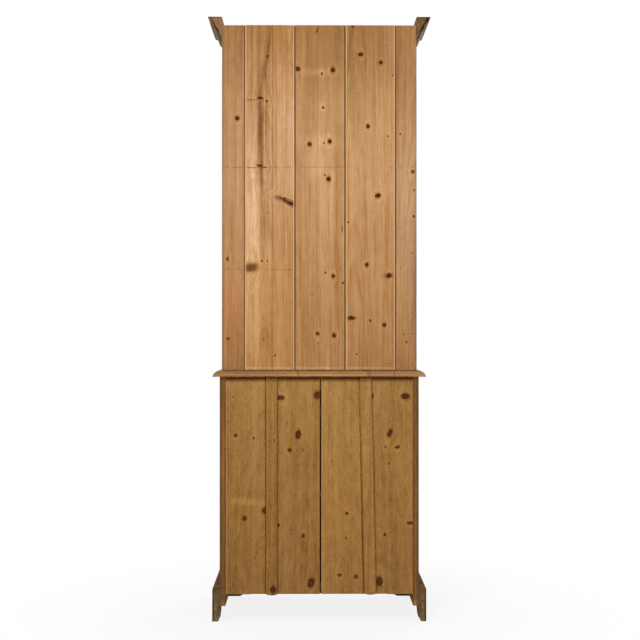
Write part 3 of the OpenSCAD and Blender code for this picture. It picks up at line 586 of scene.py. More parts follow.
def mesh_of(node):
    """The shape of a CAD node as one clean mesh, with no edges across its flat faces."""
    clean = bmesh.new()
    clean.from_mesh(frame["nodes"][node].data)
    bmesh.ops.remove_doubles(clean, verts=clean.verts, dist=1e-6)
    bmesh.ops.dissolve_limit(clean, angle_limit=math.radians(1), verts=clean.verts, edges=clean.edges)
    return clean


def cut_across(mesh, at, way):
    """Cuts a mesh by a plane through a point; both halves stay."""
    bmesh.ops.bisect_plane(mesh, geom=mesh.verts[:] + mesh.edges[:] + mesh.faces[:], dist=1e-7,
                           plane_co=at, plane_no=way)


def ease_arrises(node, wood, along, arris, step, seed, cup):
    """The board of a CAD node, its arrises planed off and rubbed back unevenly, in the node's place."""
    sharp_from, smooth_under = math.radians(40), math.radians(50)
    hollow_cuts, wear_to_the_metre, deepest_wear = 8, 31, 0.5
    board = mesh_of(node)
    rubbed = board.faces.layers.float.new("rubbed")
    sharp = [e for e in board.edges if e.is_convex and e.calc_face_angle() > sharp_from]
    new = bmesh.ops.bevel(board, geom=sharp, offset=arris * mm, offset_type="OFFSET", segments=2,
                          profile=0.6, affect="EDGES", clamp_overlap=True)
    for face in new["faces"]:
        face[rubbed] = 1.0
    cut = [0, 0, 0]
    cut[along] = 1
    places = [v.co[along] for v in board.verts]
    rows = int((max(places) - min(places)) / (step * mm)) if step else 0
    for row in range(1, rows):
        at = [0, 0, 0]
        at[along] = min(places) + (max(places) - min(places)) * row / rows
        cut_across(board, at, cut)
    if cup:
        low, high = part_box(node)
        for part in range(1, hollow_cuts):
            cut_across(board, (low.x + (high.x - low.x) * part / hollow_cuts, 0, 0), (1, 0, 0))
        for vert in board.verts:
            if vert.co.y > high.y - 0.1 * mm:
                off = (vert.co.x - (low.x + high.x) / 2) / ((high.x - low.x) / 2)
                vert.co.y -= cup * mm * (1 - off * off)
    board.normal_update()
    for vert in board.verts:
        if any(face[rubbed] > 0.5 for face in vert.link_faces):
            turn = noise.noise(vert.co * wear_to_the_metre + Vector((seed * 7.3, seed * 3.1, seed * 1.7)))
            back = max(0.0, turn + 0.15) * deepest_wear * arris * mm
            vert.co -= vert.normal * back
    for face in board.faces:
        face.smooth = True
    piece = stand_for(node, "eased_", board, wood)
    piece.data.set_sharp_from_angle(angle=smooth_under)
    flatter = piece.modifiers.new("flat faces", "WEIGHTED_NORMAL")
    flatter.keep_sharp = True
    return piece


def lay_board(node, grain, dark, pale, log, seed, stains_and_shade=(), arris=0.9, step=55, cup=0.0, **look):
    """Gives the board of a CAD node its own wood, any stain and painted shade on its back faces, and eases
    its arrises.
    """
    wood = pine(node + "_wood", grain, dark, pale, log, **look)
    if stains_and_shade:
        paint_back_stains_and_shade(wood, stains_and_shade)
    return ease_arrises(node, wood, "XYZ".index(grain[2]), arris, step, seed, cup)


for seed, side in enumerate(("left", "right")):
    node = "base_side_" + side
    out = 1 if side == "right" else -1
    lay_board(node, "YXZ", base_side_dark, base_side_pale, (3.1 + seed, 1.7, 0.4 * seed), seed + 1,
              heart=(0.05, 0.09), stray=0.45, box=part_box(node), rubbed=(0.26, 0.125, 0.048), rub=0.4,
              grime=0.4, grime_tone=side_edge_grime, gloss=0.42, shine=0.16, relief=0.2,
              faces=(("+Y", side_back_edge), ("-X" if side == "right" else "+X", (1.0, 1.0, 1.0))),
              stains_and_shade=((out * side_outer_arris, 450, 8, 1200, side_edge_dark),
                      (out * side_joint, 300, 2.6, 700, side_seam_dark),
                      (out * side_middle, 62, 14, 16, side_foot_worn, 0.9)))


# Floor, shelf and back rail of the base
# Pine boards housed in the sides, their grain running across. They are never waxed, so
# they stay pale inside the cupboard.
inner_dark = (0.42, 0.215, 0.085)
inner_pale = (0.66, 0.42, 0.215)

for seed, node in enumerate(("base_floor", "cupboard_shelf", "back_rail")):
    lay_board(node, "YZX", inner_dark, inner_pale, (1.3 * seed, 4.2, 2.6), seed + 5, heart=(0.02, 0.11),
              stray=0.4, box=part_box(node), rub=0.4, grime=0.3)


# Front frame of the base
# Stiles and rails of 20 mm pine, glued and pegged to the sides, with an upright between
# the drawers, and behind them the runners and the stop blocks.
front_dark = (0.33, 0.155, 0.052)
front_pale = (0.56, 0.325, 0.14)
front_rub = (0.60, 0.36, 0.17)
wax_gloss = 0.36

for seed, (node, grain) in enumerate((
        ("front_stile_left", "XYZ"), ("front_stile_right", "XYZ"), ("top_rail", "ZYX"),
        ("drawer_rail", "ZYX"), ("drawer_divider", "XYZ"))):
    lay_board(node, grain, front_dark, front_pale, (2.2 * seed, 0.6, 1.1 * seed), seed + 9,
              heart=(0.04, 0.1), stray=0.3, box=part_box(node), rubbed=front_rub, grime=0.3,
              gloss=wax_gloss, relief=0.18)
for seed, (node, grain) in enumerate((("drawer_runners", "ZXY"), ("stop_blocks", "YZX"))):
    lay_board(node, grain, inner_dark, inner_pale, (5.2, 1.6 * seed, 3.1), seed + 15, arris=0.6, step=0,
              grime=0.35)


# Back of the base
# Four bare pine boards 14 mm thick, nailed to the floor, shelf and rail, olive-brown and
# uneven with age. The middle joint has shrunk open.
def metal(name, bright, dull, tarnish, roughness):
    """Old metal: bright where it is handled, dull elsewhere, with patches of tarnish."""
    made, tree, shader = new_finish(name)
    spot = wire(tree, "TexCoord").outputs["Object"]
    patch = cloud(tree, spot, (70, 70, 70), 4.0, 0.6)
    scratch = cloud(tree, spot, (900, 900, 90), 2.0)
    colour = tint(tree, ease_between(tree, patch, 0.35, 0.65), bright, dull)
    dark = ease_between(tree, cloud(tree, spot, (210, 210, 210), 3.0, 0.65), 0.52, 0.72)
    colour = tint(tree, times(tree, dark, 0.8), colour, tarnish)
    feed(tree, shader.inputs["Base Color"], colour)
    feed(tree, shader.inputs["Metallic"], times_plus(tree, dark, -0.45, 1.0))
    sheen = times_plus(tree, scratch, 0.2, roughness - 0.1)
    feed(tree, shader.inputs["Roughness"], times_plus(tree, dark, 0.25, sheen))
    relief = reckon(tree, "ADD", scratch, dark)
    bump = wire(tree, "Bump", {"Height": relief, "Strength": 0.15, "Distance": 0.2 * mm})
    feed(tree, shader.inputs["Normal"], bump.outputs[0])
    return made


def shaded(colour, share):
    """The same colour, darker or lighter."""
    return tuple(part * share for part in colour)


def close_rings(heads, rings):
    """Joins rings of points, one above the other, into one closed head."""
    heads.faces.new(rings[0])
    heads.faces.new(rings[-1])
    for near, far in zip(rings, rings[1:]):
        for corner in range(len(near)):
            heads.faces.new((near[corner - 1], near[corner], far[corner], far[corner - 1]))


def drive_nails(name, places, stand, seed):
    """Cut nails' heads, hammered in a little unevenly; each place gives x, the wood's face and z."""
    lot = random.Random(seed)
    radius, aside, above, corners = 1.9, 4, 3, 10
    heads = bmesh.new()
    for x, face, z in places:
        middle = Vector((x + lot.uniform(-aside, aside) * mm, face, z + lot.uniform(-above, above) * mm))
        start = lot.uniform(0, math.pi)
        reach = [radius * lot.uniform(0.85, 1.1) for corner in range(corners)]
        rings = []
        for share, out in ((0.96, -0.4), (1.0, stand * 0.45), (0.62, stand)):
            ring = []
            for corner, far in enumerate(reach):
                turn = start + corner * math.tau / corners
                arm = Vector((math.cos(turn), 0, math.sin(turn))) * far * share
                ring.append(heads.verts.new(middle + (arm + Vector((0, out, 0))) * mm))
            rings.append(ring)
        close_rings(heads, rings)
    bmesh.ops.recalc_face_normals(heads, faces=heads.faces)
    set_in_place(name, heads, nail_iron, "carcass")


base_back_dark = (0.225, 0.103, 0.026)
base_back_pale = (0.45, 0.245, 0.078)
# Tones by height on the base's back boards and battens: darker towards the bottom, and in the top 17 mm
# painted shadow under the worktop's overhang.
base_back_fade = ((95, (0.93, 0.89, 0.81)), (450, (1.01, 0.98, 0.89)), (832, (1.14, 1.19, 1.15)),
                  (838, (0.62, 0.56, 0.48)), (843, (0.32, 0.23, 0.15)), (849, (0.2, 0.12, 0.05)))
seam_dirt = (0.11, 0.048, 0.016)
base_rub = (0.50, 0.29, 0.11)
# A dark line on the boards along one edge of each batten: painted shade in the crease beside it.
batten_crease_shade = (0.42, 0.33, 0.24)
base_back_boards = {
    "base_back_board_1": dict(
        log=(4.1, 2.0, 7.7), heart=(0.20, 0.02), lean=0.06,
        knots=((299, 780, 3.5, 3.5, 0.5, 0.1), (290, 646, 5.9, 5.2, 0.85), (229, 637, 3.8, 3.1, 0.85),
               (189, 384, 9.4, 9.4, 0.9, 0, -15), (260, 358, 7.3, 6.9, 0.92),
               (224, 222, 4.2, 3.8, 0.35, 0.2), (326, 380, 3.8, 9.0, 0.6, 0.2)),
        marks=((259, 416, 70, 15, (1.35, 1.4, 1.5), 0.8), (186, 460, 3, 1400, batten_crease_shade, 1.0, 0.4)),
    ),
    "base_back_board_2": dict(
        log=(0.8, 5.0, 3.4), heart=(0.06, 0.05), lean=0.03,
        knots=((134, 777, 13.2, 8.0, 0.85, 0.05), (7, 786, 11.8, 11.8, 0.9),
               (74, 649, 8.7, 14.6, 0.92, 0.05, -6), (103, 595, 6.6, 5.5, 0.9),
               (57, 595, 3.8, 5.2, 0.5, 0.2), (75, 545, 3.1, 3.5, 0.6, 0.1), (34, 550, 2.4, 2.4, 0.5, 0.1),
               (142, 334, 4.2, 5.2, 0.9), (96, 318, 5.2, 3.1, 0.4, 0.3, -35), (56, 298, 5.5, 5.9, 0.9),
               (29, 134, 11.1, 16.6, 0.85, 0.05, -18)),
    ),
    "base_back_board_3": dict(
        log=(2.8, 3.0, 1.2), heart=(-0.05, 0.12), lean=0.01, share=1.1,
        marks=((-146.2, 460, 3, 1400, batten_crease_shade, 1.0, 0.4, 1.25),),
        knots=((-44, 557, 2.4, 2.4, 0.5, 0.1), (-96, 375, 4.9, 5.2, 0.88), (-92, 291, 3.5, 4.2, 0.6, 0.1),
               (-84, 214, 3.1, 3.1, 0.4, 0.1), (-71, 161, 9.4, 5.9, 0.65, 0.15, 10),
               (-128, 156, 7.6, 8.0, 0.65, 0.1)),
    ),
    "base_back_board_4": dict(
        log=(6.4, 1.0, 5.9), heart=(-0.25, 0.17), lean=-0.05,
        knots=((-185, 784, 4.5, 9.7, 0.8, 0.1), (-299, 782, 14.6, 9.7, 0.9, 0.05),
               (-246, 654, 8.3, 13.5, 0.85, 0.05, -22), (-230, 606, 3.5, 3.5, 0.75),
               (-272, 605, 7.6, 4.9, 0.9), (-241, 549, 3.5, 3.1, 0.75), (-229, 301, 4.9, 4.5, 0.85, 0, 20),
               (-316, 341, 11.8, 5.9, 0.8, 0.1), (-209, 139, 11.1, 15.3, 0.9, 0.05)),
    ),
}
for seed, (node, own) in enumerate(base_back_boards.items()):
    low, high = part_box(node)
    share = own.pop("share", 1.0)
    lay_board(node, "XYZ", shaded(base_back_dark, share), shaded(base_back_pale, share), own.pop("log"),
              seed + 20, arris=1.0, box=(low, high), fade=base_back_fade,
              line=0.14, bands=0.45, patches=0.6, specks=0.42, streaks=0.5, mottle=1.5, olive=0.2,
              seams=((low.x / mm, 1.6, seam_dirt, 0.7), (high.x / mm - 3.2, 1.6, base_rub, 0.5),
                     (high.x / mm, 1.4, seam_dirt, 0.7)),
              rubbed=base_rub, rub=0.25, grime=0.12, gloss=0.75, shine=0.06, relief=0.4, **own)
nail_iron = metal("nail_iron", (0.17, 0.095, 0.05), (0.1, 0.06, 0.035), (0.13, 0.055, 0.022), 0.65)
places = []
nail_rows = (122, 440, 827)
nail_inset = 24 * mm
for node in base_back_boards:
    low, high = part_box(node)
    for height in nail_rows:
        for x in (low.x + nail_inset, (low.x + high.x) / 2, high.x - nail_inset):
            places.append((x, high.y, height * mm))
drive_nails("base_back_nails", places, 0.4, 5)

# A dark block in the foot of the open middle joint: painted shade, so the joint reads dark to its foot
# instead of showing the floor through it.
gap_shade_finish = metal("gap_shade_finish", (0.06, 0.035, 0.02), (0.045, 0.026, 0.014), (0.03, 0.016, 0.008), 1.0)
tree = gap_shade_finish.node_tree
shader = tree.nodes["Principled BSDF"]
tree.links.remove(shader.inputs["Metallic"].links[0])
shader.inputs["Metallic"].default_value = 0.0
shader.inputs["Specular IOR Level"].default_value = 0.05
joint_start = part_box("base_back_board_3")[1].x
board_low, board_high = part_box("base_back_board_2")
joint_wide = board_low.x - joint_start
shade_block_middle = Vector((joint_start + joint_wide / 2, board_high.y - 5.5 * mm, board_low.z + 12.5 * mm))
shade_block_size = Vector((joint_wide + 1 * mm, 5 * mm, 22 * mm))
shade_block = bmesh.new()
bmesh.ops.create_cube(shade_block, size=1.0)
bmesh.ops.subdivide_edges(shade_block, edges=shade_block.edges[:], cuts=9, use_grid_fill=True)
for vert in shade_block.verts:
    rough = noise.noise(vert.co * 5) * mm
    vert.co = shade_block_middle + vert.co * shade_block_size + Vector((0, rough, rough))
for side in shade_block.faces:
    side.smooth = True
set_in_place("base_joint_shade_block", shade_block, gap_shade_finish, "carcass")


# Battens on the back of the base
# Two slips of pine nailed over the joints beside the middle one. The one at the right
# of the photograph leans, because it was nailed on by eye.
batten_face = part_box("back_battens")[1].y
batten_knots = ((157, 630, 3.5, 6.2, 0.6, 0.1), (147, 619, 2.8, 4.2, 0.5, 0.1),
                (160, 112, 10.1, 11.4, 0.85, 0.05), (-152, 386, 3.1, 8.3, 0.6, 0.2))
lay_board("back_battens", "XYZ", (0.20, 0.09, 0.02), (0.41, 0.215, 0.062), (7.7, 0.3, 2.9), 31,
          arris=1.0, heart=(0.1, 0.2), line=0.15, specks=0.6, mottle=1.2, olive=0.2, knots=batten_knots,
          marks=((-168, 500, 50, 620, (1.22, 1.28, 1.45)),), fade=base_back_fade,
          rubbed=(0.36, 0.19, 0.06), gloss=0.75, shine=0.06, relief=0.35)
upright_middle, leaning_middle, lean = 165 * mm, -167.5 * mm, 0.0155
first_nail, nail_apart, batten_centre = 140 * mm, 134 * mm, 470 * mm
places = []
for step in range(6):
    height = first_nail + nail_apart * step
    places.append((upright_middle, batten_face, height))
    places.append((leaning_middle + (height - batten_centre) * lean, batten_face, height))
drive_nails("batten_nails", places, 0.3, 9)


# Worktop
# One wide pine board 22 mm thick, thumb-moulded on its front and ends and square behind.
# The base's sides and rails are pegged and glued up into it.
lay_board("worktop", "YZX", (0.27, 0.125, 0.042), (0.47, 0.26, 0.11), (1.9, 3.3, 8.8), 35,
          arris=0.8, heart=(0.3, -0.09), stray=0.5, box=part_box("worktop"), rubbed=(0.52, 0.31, 0.15),
          grime=0.3, gloss=0.4, relief=0.2, streaks=1.2, faces=(("+Y", (1.05, 0.98, 0.86)),),
          knots=((235, 74, 4, 4, 0.35, 0.2), (235, -172, 5, 7, 0.4, 0.25), (235, -259, 3, 3, 0.3, 0.2)),
          # On the back edge: painted shade along its top where it meets the rack, a paler band below, and
          # painted shade along its lower arris.
          stains_and_shade=((0, 872, 900, 4.2, (0.36, 0.28, 0.18)),
                  (0, 857, 900, 6, (1.3, 1.32, 1.36)),
                  (0, 850, 900, 3, (0.3, 0.22, 0.15))))


# Plinth
# Pine boards mitred at the front corners, shaped into bracket feet and rounded along the
# top. Grey-brown from floor washing, scuffed at the feet, with glue blocks behind.
plinth_dark = (0.12, 0.06, 0.024)
plinth_pale = (0.33, 0.18, 0.078)
floor_wash = (0.07, 0.05, 0.033)
back_ends = ((60, 205, 110, 110, (0.62, 0.64, 0.66)),
             (118, 0, 20, 900, (0.6, 0.52, 0.44)))
# The plinth's top faces are made paler.
plinth_top_paler = ("+Z", (1.35, 1.35, 1.25))
plinth_look = dict(heart=(0.05, 0.05), stray=0.4, rubbed=(0.42, 0.29, 0.17), grime=0.55,
                   grime_tone=floor_wash, streaks=1.4, gloss=0.62, shine=0.05)
foot_worn = {"left": 7.5 * mm, "right": 5 * mm}
foot_top, foot_inner = 54 * mm, 352 * mm
worn_from, worn_over = 120 * mm, 60 * mm


def wear_foot(shape, out, worn):
    """Wears the inner corner of a back foot away towards the floor, most at the back."""
    foot = bmesh.new()
    foot.from_mesh(shape)
    cut_across(foot, (0, 0, foot_top), (0, 0, 1))
    for vert in foot.verts:
        behind = min(1.0, max(0.0, (vert.co.y - worn_from) / worn_over))
        if out * vert.co.x < foot_inner and vert.co.z < foot_top:
            vert.co.x += out * worn * behind * (1 - vert.co.z / foot_top)
    foot.to_mesh(shape)
    foot.free()


# The plinth front's inner face is made 2.6 times paler: bare wood, and painted light lifting it out of the
# shade it stands in.
lay_board("plinth_front", "ZYX", plinth_dark, plinth_pale, (0.0, 6.1, 4.4), 37, end=(1.42, 1.38, 1.12),
          faces=(plinth_top_paler, ("+Y", (2.6, 2.4, 2.0))), **plinth_look)
for seed, side in ((1, "left"), (2, "right")):
    out = 1 if side == "right" else -1
    foot = lay_board("plinth_side_" + side, "ZXY", plinth_dark, plinth_pale, (0.9 * seed, 6.1, 4.4),
                     seed + 37, end=(1.22, 1.42, 1.45) if side == "right" else (1.42, 1.38, 1.12),
                     faces=(plinth_top_paler,), marks=back_ends,
                     stains_and_shade=((out * 371, 60, 5, 200, (0.3, 0.28, 0.26)),
                             (out * 360, 50, 3, 60, (1.3, 1.35, 1.3), 0.8),
                             (out * 348, 30, 5, 60, (0.6, 0.55, 0.5), 0.8)), **plinth_look)
    wear_foot(foot.data, out, foot_worn[side])
lay_board("plinth_blocks", "XYZ", inner_dark, inner_pale, (3.3, 8.1, 0.2), 41, arris=0.8, step=0,
          grime=0.5)


# Drawers
# Lapped dovetails join the pine fronts to their sides; the bottoms slide in grooves. The
# fronts are waxed like the frame, and the rest is bare.
for seed, side in enumerate(("left", "right")):
    for turn, (part, grain) in enumerate((
            ("front", "ZYX"), ("sides", "ZXY"), ("back", "ZYX"), ("bottom", "YZX"))):
        node = "drawer_" + side + "_" + part
        waxed = part == "front"
        dark, pale = (front_dark, front_pale) if waxed else (inner_dark, inner_pale)
        lay_board(node, grain, dark, pale, (4.7 * seed + turn, 2.9, 1.6 * turn), seed * 4 + turn + 43,
                  arris=0.7, step=70, heart=(0.74, 0.06) if waxed else (0.8, 0.2), stray=0.45,
                  box=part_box(node), rubbed=(0.62, 0.38, 0.18), grime=0.25,
                  gloss=wax_gloss if waxed else 0.6, relief=0.18)


# Doors
# Each is a mortised and tenoned pine frame round a fielded panel, waxed outside.
stile = 54 * mm
for seed, side in enumerate(("left", "right")):
    for turn, part in enumerate(("frame", "panel")):
        node = "door_" + side + "_" + part
        low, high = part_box(node)
        rails = ((low.x + high.x) / 2, (high.x - low.x) / 2 - stile) if part == "frame" else None
        lay_board(node, "XYZ", front_dark, front_pale, (3.9 * seed + 2 * turn, 7.4, 0.7 + seed),
                  seed * 2 + turn + 53, arris=0.7, heart=(0.15 - 0.3 * (1 - seed), 0.12),
                  stray=0.5 if part == "panel" else 0.3, box=(low, high), rubbed=front_rub, grime=0.25,
                  gloss=wax_gloss, relief=0.18, rails=rails)


# Turned knobs and the door catch
# Turned pine, dark with handling. The drawer knobs and one door's knob are fixed by
# dowels; the other door's knob turns, with a tongue on its spindle that holds behind.
def turn_round(node, wood):
    """The turned knob of a CAD node with its facets smoothed away, in the node's place."""
    crease_from, crease_hold = math.radians(50), 0.8
    knob = mesh_of(node)
    crease = knob.edges.layers.float.new("crease_edge")
    for edge in knob.edges:
        if len(edge.link_faces) == 2 and edge.calc_face_angle() > crease_from:
            edge[crease] = crease_hold
    for face in knob.faces:
        face.smooth = True
    rounder = stand_for(node, "turned_", knob, wood).modifiers.new("rounder", "SUBSURF")
    rounder.levels = 2
    rounder.render_levels = 2


for seed, node in enumerate(("drawer_left_knob", "drawer_right_knob", "door_left_knob", "catch_knob")):
    wood = pine(node + "_wood", "XZY", (0.19, 0.082, 0.03), (0.40, 0.205, 0.082), (2.4 * seed, 1.1, 5.5),
                heart=(0.35 * seed, 0.6), rubbed=(0.5, 0.29, 0.13), grime=0.5,
                grime_tone=(0.06, 0.03, 0.014), gloss=0.3, relief=0.12)
    turn_round(node, wood)
lay_board("catch_tongue", "XYZ", inner_dark, inner_pale, (0.4, 3.6, 2.0), 61, arris=0.7, step=0,
          grime=0.5)


# Hinges
# Brass butts let into the stiles, each with two leaves on a loose pin, dulled and with
# dark polish in the knuckles.
def own_finish(node, finish):
    """Gives a CAD node its finish; its shape stays as it is."""
    slots = frame["nodes"][node].data.materials
    slots.clear()
    slots.append(finish)


old_brass = metal("old_brass", (0.62, 0.42, 0.17), (0.40, 0.26, 0.11), (0.07, 0.045, 0.022), 0.38)
for node in ("frame_hinge_leaves", "hinge_pins", "door_left_hinge_leaves", "door_right_hinge_leaves"):
    own_finish(node, old_brass)


def slotted_screws(name, places, body):
    """Slotted screws' heads, level in a leaf; each place gives the middle and its way in x."""
    lot = random.Random(len(places) + len(name))
    radius, stand, slot, steps = 2.9 * mm, 0.25 * mm, 0.45 * mm, 8
    heads = bmesh.new()
    for x, y, z, way in places:
        start = lot.uniform(0, math.pi)
        for half in (1, -1):
            arc = [math.acos(slot / radius) * (1 - 2 * step / steps) for step in range(steps + 1)]
            rim = [(radius * math.cos(turn), radius * math.sin(turn)) for turn in arc]
            rings = []
            for share, out in ((1.0, -0.6 * mm), (1.0, stand * 0.4), (0.93, stand)):
                ring = []
                for along, over in rim:
                    along = slot + (along - slot) * share
                    over = over * share
                    turned = Vector((0, along * math.cos(start) - over * math.sin(start),
                                     along * math.sin(start) + over * math.cos(start))) * half
                    ring.append(heads.verts.new(Vector((x + way * out, y, z)) + turned))
                rings.append(ring)
            close_rings(heads, rings)
    bmesh.ops.recalc_face_normals(heads, faces=heads.faces)
    set_in_place(name, heads, old_brass, body)


hinge_heights = (225.5 * mm, 604.5 * mm)
screw_rows = ((-17, -1.6), (0, 2.2), (17, -1.6))
leaf_middle = -196.8 * mm
frame_leaf_face, door_leaf_face = 301.0 * mm, 299.5 * mm
frame_places = []
for side, way in (("left", -1), ("right", 1)):
    door_places = []
    for height in hinge_heights:
        for up, over in screw_rows:
            z = height + up * mm
            y = leaf_middle + over * mm
            frame_places.append((way * frame_leaf_face, y, z, -way))
            door_places.append((way * door_leaf_face, y, z, way))
    slotted_screws("door_" + side + "_hinge_screws", door_places, "door_" + side)
slotted_screws("frame_hinge_screws", frame_places, "carcass")


# Bolt
# A blackened iron rod in two staples on a plate, let into the back of the left-hand door.
old_iron = metal("old_iron", (0.12, 0.112, 0.105), (0.055, 0.05, 0.047), (0.09, 0.035, 0.015), 0.5)
for node in ("bolt_plate", "bolt_rod"):
    own_finish(node, old_iron)


# Sides of the rack
# Two pine boards 20 mm thick, housed for the shelves; the back boards are nailed over
# their back edges.
for seed, side in enumerate(("left", "right")):
    node = "rack_side_" + side
    lay_board(node, "YXZ", base_side_dark, base_side_pale, (8.3 + seed, 5.7, 1.4 * seed), seed + 63,
              heart=(0.10, 0.08), stray=0.45, box=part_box(node), rubbed=(0.52, 0.31, 0.14), grime=0.35,
              gloss=0.42, relief=0.2)


# Shelves, rails and frieze of the rack
# Two shelves with a plate groove, a foot rail, the top board, and the frieze, whose
# lower edge is cut to a double curve.
for seed, (node, grain) in enumerate((("rack_foot_rail", "ZYX"), ("rack_shelf_lower", "YZX"),
                                      ("rack_shelf_upper", "YZX"), ("rack_top", "YZX"), ("frieze", "ZYX"))):
    lay_board(node, grain, (0.30, 0.14, 0.047), (0.53, 0.305, 0.13), (1.7 * seed, 9.4, 6.3), seed + 67,
              arris=0.8, heart=(0.05, 0.12) if grain == "YZX" else (1.95, 0.1), stray=0.45,
              box=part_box(node), rubbed=(0.58, 0.35, 0.17), grime=0.3, gloss=0.42, relief=0.2)


# Back of the rack
# Three wide boards tongued and grooved between two narrow ones, bare pine gone to honey,
# nailed at the top, at both shelves and at the foot. Their lower ends are rubbed pale.
rack_back_dark = (0.375, 0.172, 0.058)
rack_back_pale = (0.61, 0.36, 0.165)
# Tones by height on the rack's back boards: painted shade along their feet at the joint with the worktop,
# paler through the middle, darker at the top.
rack_back_fade = ((872, (0.2, 0.12, 0.05)), (875.5, (0.5, 0.4, 0.28)), (878, (0.84, 0.76, 0.66)),
                  (1150, (0.98, 0.94, 0.89)), (1500, (1.14, 1.16, 1.24)), (1800, (1.02, 1.0, 1.02)),
                  (2071, (0.79, 0.72, 0.62)))
pale_patch = (1.25, 1.34, 1.55)
worn_foot = (1.35, 1.5, 1.75)
rack_rub = (0.74, 0.50, 0.29)
seam_brown = (0.24, 0.115, 0.04)
seam_dark = (0.15, 0.07, 0.022)
seam_pink = (0.76, 0.46, 0.27)
seam_green = (0.56, 0.37, 0.18)
heart_line = (0.15, 0.06, 0.02)
heart_streak = (0.45, 0.31, 0.24)
heart_crack = (0.5, 0.34, 0.22)
olive_wood = (0.86, 0.87, 0.76)
knot_flush = (0.5, 0.36, 0.27)
shelf_shadow = (0.72, 0.63, 0.56)
rust = (0.13, 0.045, 0.012)
